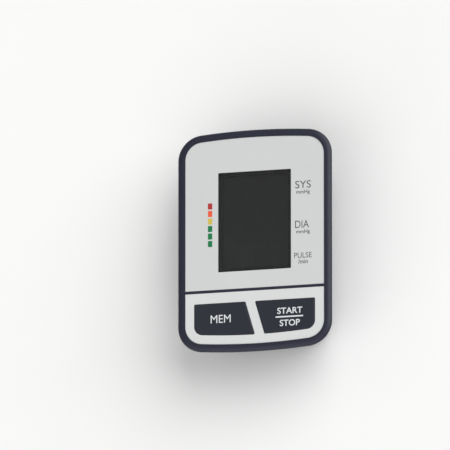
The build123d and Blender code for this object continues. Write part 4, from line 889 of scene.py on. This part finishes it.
@dataclass(frozen=True)
class Segments:
    """Faint unlit segments of the display: three rows of digits and a bar scale."""

    rows: tuple[DigitRow, ...] = (
        DigitRow(31.0 * MM, 7.6 * MM, 15.0 * MM),
        DigitRow(6.0 * MM, 7.6 * MM, 15.0 * MM),
        DigitRow(-12.0 * MM, 5.0 * MM, 8.6 * MM),
    )
    digits: int = 3
    pitch_share: float = 1.45
    right_x: float = 18.5 * MM
    stroke_share: float = 0.15
    gap_share: float = 0.03
    scale_x: float = -18.6 * MM
    scale_length: float = 2.4 * MM
    scale_stroke: float = 1.2 * MM

    def strokes(self) -> np.ndarray:
        """Where every stroke lies.

        Returns:
            One row for each stroke: middle x and y, half length, half width, and 1 where it is upright.
        """
        strokes = []
        for row in self.rows:
            half = row.wide * self.stroke_share / 2
            gap = row.wide * self.gap_share
            arm = row.wide / 2 - half
            leg = row.tall / 2 - half
            for digit in range(self.digits):
                x = self.right_x - row.wide / 2 - digit * row.wide * self.pitch_share
                for y in (-leg, 0.0, leg):
                    strokes.append((x, row.y + y, arm - gap, half, 0.0))
                for side in (-arm, arm):
                    for y in (-leg / 2, leg / 2):
                        strokes.append((x + side, row.y + y, leg / 2 - gap, half, 1.0))
        return np.array(strokes)

    def mesh(self, name: str, base: float) -> bpy.types.Mesh:
        """Builds all strokes as one mesh of thin six-sided prisms.

        A stroke's outline has a point at each end and two corners beside it, one half width in.

        Args:
            name: the mesh's name.
            base: the height that the strokes lie on.

        Returns:
            The mesh.
        """
        middle_x, middle_y, long, half, upright = self.strokes().T[:, :, None]
        along = np.concatenate([-long, half - long, long - half, long, long - half, half - long], axis=1)
        across = np.array([0.0, -1.0, -1.0, 0.0, 1.0, 1.0]) * half
        x = np.where(upright > 0, -across, along) + middle_x
        y = np.where(upright > 0, along, across) + middle_y
        low = np.stack([x, y, np.full_like(x, base)], axis=-1)
        high = low + np.array([0.0, 0.0, PRINT])
        strokes, sides = x.shape
        start = (np.arange(strokes) * 2 * sides)[:, None]
        ring = np.arange(sides)
        following = (ring + 1) % sides
        walls = np.stack([ring, following, following + sides, ring + sides], axis=-1) + start[:, :, None]
        tops = ring + sides + start
        bottoms = ring[::-1] + start
        faces = walls.reshape(-1, 4).tolist() + tops.tolist() + bottoms.tolist()
        return mesh_of(name, np.concatenate([low, high], axis=1), faces)

    def scale_mesh(self, name: str, y: float, base: float) -> bpy.types.Mesh:
        """Builds one small bar that stands beside a bar of the printed colour scale.

        Args:
            name: the mesh's name.
            y: the printed bar's Y place.
            base: the height that the small bar lies on.

        Returns:
            The mesh.
        """
        return Tile(self.scale_length / 2, self.scale_stroke / 2).mesh(name, (self.scale_x, y), base)


@dataclass
class Display:
    """Window with its printed border, which also paints the shade at the window's edge, display glass with
    unlit segments, and what holds and joins them.
    """

    border: float = 0.7 * MM
    ledge: float = 1.4 * MM
    edge_gap: float = 0.05 * MM
    segments: Segments = Segments()

    def build(self, bar_heights: list[float]) -> None:
        """Dresses the display's nodes, prints the window's border, whose black also paints the shade at the
        window's edge, and lays the segments on the glass.

        Args:
            bar_heights: the Y places of the printed colour scale's bars.
        """
        dress("display_window", ACRYLIC)
        dress("lcd_glass", POLARISER)
        dress("lcd_gasket", FOAM)
        dress("lcd_holder", WHITE_NYLON)
        dress("zebra_connectors", CARBON)
        low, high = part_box("display_window")
        centre = ((low.x + high.x) / 2, (low.y + high.y) / 2)
        half_x = (high.x - low.x) / 2 - self.edge_gap
        half_y = (high.y - low.y) / 2 - self.edge_gap
        inside = low.z + PRINT
        # Printed mask and painted shade: the black border also stands for the shade in the window's recess
        # at its edge.
        edge = Border(half_x, half_y, self.border).mesh("window_border_and_shade", centre, inside)
        add_piece("window_border_and_shade", edge, MASK_AND_SHADE_INK, Body.HOUSING)
        inner = Border(half_x - self.border, half_y - self.border, self.ledge)
        ledge = inner.mesh("window_ledge_print", centre, inside)
        add_piece("window_ledge_print", ledge, LEDGE_INK, Body.HOUSING)
        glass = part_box("lcd_glass")[1].z
        digits = self.segments.mesh("display_segments", glass)
        add_piece("display_segments", digits, SEGMENT_INK, Body.HOUSING)
        for i, y in enumerate(bar_heights, start=1):
            bar = self.segments.scale_mesh(f"display_scale_{i}", y, glass)
            add_piece(f"display_scale_{i}", bar, SEGMENT_INK, Body.HOUSING)


@dataclass
class Keys:
    """Two keys with their function words, rubber domes and contact pills."""

    mem_word: Word = Word("MEM", (-21.4 * MM, -48.6 * MM), 12.7 * MM, 5.0 * MM)
    start_word: Word = Word("START", (22.4 * MM, -45.8 * MM), 15.9 * MM, 3.9 * MM, 0.015)
    stop_word: Word = Word("STOP", (22.4 * MM, -53.5 * MM), 12.7 * MM, 4.0 * MM, 0.015)
    rule: Tile = field(default_factory=lambda: Tile(8.7 * MM, 0.425 * MM, power=30.0, around=64))
    rule_centre: Place = (22.1 * MM, -49.6 * MM)

    def build(self) -> None:
        """Dresses the keys and what they press, and prints the words and the rule on their tops."""
        for key in ("mem_key", "start_stop_key"):
            dress(key, NAVY_KEY)
            dress(f"{key}_dome", SILICONE)
        dress("mem_contact_pill", CARBON)
        dress("start_stop_contact_pill", CARBON)
        mem_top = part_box("mem_key")[1].z
        start_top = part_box("start_stop_key")[1].z
        prints = {
            "mem_word": (self.mem_word.mesh("mem_word", mem_top), Body.MEM_KEY),
            "start_word": (self.start_word.mesh("start_word", start_top), Body.START_KEY),
            "stop_word": (self.stop_word.mesh("stop_word", start_top), Body.START_KEY),
            "key_rule": (self.rule.mesh("key_rule", self.rule_centre, start_top), Body.START_KEY),
        }
        for name, (mesh, body) in prints.items():
            add_piece(name, mesh, WHITE_INK, body)


@dataclass
class Electronics:
    """Circuit board, its parts and the leads."""

    finishes: dict[str, Finish] = field(default_factory=lambda: {
        "main_pcb": BOARD,
        "controller_chip": EPOXY,
        "memory_chip": EPOXY,
        "reference_crystal": STEEL,
        "storage_capacitor": EPOXY,
        "buzzer": BLACK_PLASTIC,
        "pressure_sensor": WHITE_NYLON,
        "pump_leads": RED_WIRE,
        "valve_leads": RED_WIRE,
        "socket_leads": RED_WIRE,
        "dc_socket": BLACK_PLASTIC,
        "dc_pin": SPRING_METAL,
    })

    def build(self) -> None:
        """Dresses each node."""
        for node, finish in self.finishes.items():
            dress(node, finish)


@dataclass
class Battery:
    """Cells, contacts and springs."""

    end_room: float = 5.3 * MM
    rim: float = 1.6 * MM

    def build(self) -> None:
        """Dresses the cells, whose film ends a rim inside their flat ends, then the contacts."""
        low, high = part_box("aa_cells")
        half = (high.y - low.y) / 2 - self.end_room - self.rim
        dress("aa_cells", CellWrap("cell_film", (low.y + high.y) / 2, half))
        for node in ("battery_terminals", "battery_links", "battery_springs"):
            dress(node, SPRING_METAL)


@dataclass
class AirSystem:
    """Pump, tubes, manifold, valves and the air socket."""

    finishes: dict[str, Finish] = field(default_factory=lambda: {
        "pump_motor": STEEL,
        "pump_motor_cap": BLACK_PLASTIC,
        "pump_shaft": STEEL,
        "pump_crank": WHITE_NYLON,
        "pump_wobble_disc": WHITE_NYLON,
        "pump_crankcase": BLACK_PLASTIC,
        "pump_diaphragm": BLACK_RUBBER,
        "pump_valve_body": WHITE_NYLON,
        "pump_cover": BLACK_PLASTIC,
        "pump_mount_rings": BLACK_RUBBER,
        "pump_top_pad": FOAM,
        "air_socket": BLACK_PLASTIC,
        "air_manifold": WHITE_NYLON,
        "socket_tube": SILICONE,
        "pump_tube": SILICONE,
        "sensor_tube": SILICONE,
        "valve_tube": SILICONE,
        "bleed_valve": BLACK_RUBBER,
        "valve_frame": STEEL,
        "valve_coil": COIL_WIRE,
        "valve_plunger": STEEL,
        "valve_tip": BLACK_RUBBER,
        "valve_spring": STEEL,
        "valve_nozzle": WHITE_NYLON,
    })

    def build(self) -> None:
        """Dresses each node."""
        for node, finish in self.finishes.items():
            dress(node, finish)


@dataclass(frozen=True)
class SoftSun:
    """A distant soft lamp: where it stands in the sky, how wide it looks and how strong it is."""

    name: str
    toward: tuple[float, float, float]
    wide: float
    strength: float


@dataclass
class Studio:
    """Plain pale floor, soft light and a long-lens camera at the reference view."""

    floor_half: float = 20.0
    floor_cells: int = 8
    floor_colour: Colour = (252, 252, 251)
    floor_grain: float = 40 * MM
    floor_shade: float = 0.99
    world_strength: float = 0.3
    suns: tuple[SoftSun, ...] = (
        SoftSun("right_sun", (0.60, 0.45, 0.66), 70.0, 2.1),
        SoftSun("user_sun", (-0.20, -0.70, 0.68), 80.0, 1.15),
    )
    lens: float = 1500.0
    sensor: float = 36.0
    image_side: int = 450
    pixels_per_metre: float = 1629.0
    tilt_to_user: float = math.radians(14.2)
    tilt_to_right: float = math.radians(14.2)
    face_pixel: Place = (254.35, 239.8)
    clip: tuple[float, float] = (0.1, 100.0)

    def floor(self) -> None:
        """Lays the floor: a flat grid in the table's plane, with a trace of grain in its colour."""
        side = np.linspace(-self.floor_half, self.floor_half, self.floor_cells + 1)
        x, y = np.meshgrid(side, side, indexing="xy")
        points = np.stack([x, y, np.zeros_like(x)], axis=-1)
        row, column = np.meshgrid(np.arange(self.floor_cells), np.arange(self.floor_cells), indexing="ij")
        wide = self.floor_cells + 1
        first = row * wide + column
        faces = np.stack([first, first + 1, first + wide + 1, first + wide], axis=-1).reshape(-1, 4)
        plane = bpy.data.objects.new("floor", mesh_of("floor", points, faces.tolist()))
        bpy.context.scene.collection.objects.link(plane)
        s = Surface("floor_paper")
        base = linear(*self.floor_colour)
        stops = [(NOISE_LOW, scaled(base, self.floor_shade)), (NOISE_HIGH, base)]
        s.colour(s.noise(self.floor_grain), "Fac", stops)
        s.set(Roughness=0.9, Specular_IOR_Level=0.1)
        plane.data.materials.append(s.material)
        plane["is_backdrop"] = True

    def light(self) -> None:
        """Sets an even grey world and two soft suns, which light the whole floor alike."""
        world = bpy.data.worlds.new("studio")
        bpy.context.scene.world = world
        world.use_nodes = True
        background = world.node_tree.nodes["Background"]
        background.inputs["Color"].default_value = (*WHITE, 1.0)
        background.inputs["Strength"].default_value = self.world_strength
        for sun in self.suns:
            light = bpy.data.lights.new(sun.name, "SUN")
            light.angle = math.radians(sun.wide)
            light.energy = sun.strength
            lamp = bpy.data.objects.new(sun.name, light)
            bpy.context.scene.collection.objects.link(lamp)
            lamp.rotation_mode = "QUATERNION"
            lamp.rotation_quaternion = Vector(sun.toward).to_track_quat("Z", "Y")

    def camera(self) -> None:
        """Places the camera.

        Its back vector leans from Z by one tilt to +X and one to the user. Up is Y less its share along
        that vector, so the device's length stands upright in the picture. The distance follows from the
        lens and the scale, and a sideways move brings the face's middle to its pixel.
        """
        back = Vector((
            math.sin(self.tilt_to_right),
            -math.cos(self.tilt_to_right) * math.sin(self.tilt_to_user),
            math.cos(self.tilt_to_right) * math.cos(self.tilt_to_user),
        )).normalized()
        up = (Vector((0.0, 1.0, 0.0)) - back * back.y).normalized()
        right = up.cross(back)
        distance = self.lens * self.image_side / self.sensor / self.pixels_per_metre
        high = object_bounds()[1].z
        middle = self.image_side / 2
        across = (middle - self.face_pixel[0]) / self.pixels_per_metre
        along = (self.face_pixel[1] - middle) / self.pixels_per_metre
        optics = bpy.data.cameras.new("camera")
        optics.lens = self.lens
        optics.sensor_width = self.sensor
        optics.clip_start, optics.clip_end = self.clip
        camera = bpy.data.objects.new("camera", optics)
        bpy.context.scene.collection.objects.link(camera)
        turn = Matrix((right, up, back)).transposed().to_4x4()
        place = Vector((0.0, 0.0, high)) + back * distance + right * across + up * along
        camera.matrix_world = Matrix.Translation(place) @ turn
        bpy.context.scene.camera = camera

    def build(self) -> None:
        """Sets up floor, light, camera and the plain view transform."""
        self.camera()
        self.floor()
        self.light()
        bpy.context.scene.view_settings.view_transform = "Standard"


def main() -> None:
    """Builds the studio and each sub-assembly in order."""
    logging.basicConfig(level=logging.INFO, format="%(name)s: %(message)s")
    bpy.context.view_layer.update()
    Studio().build()
    panels = FrontPanels()
    Housing().build()
    panels.build()
    Display().build(panels.bar_heights())
    Keys().build()
    Electronics().build()
    Battery().build()
    AirSystem().build()
    log.info("wrote both boxes")


if __name__ == "__main__":
    main()
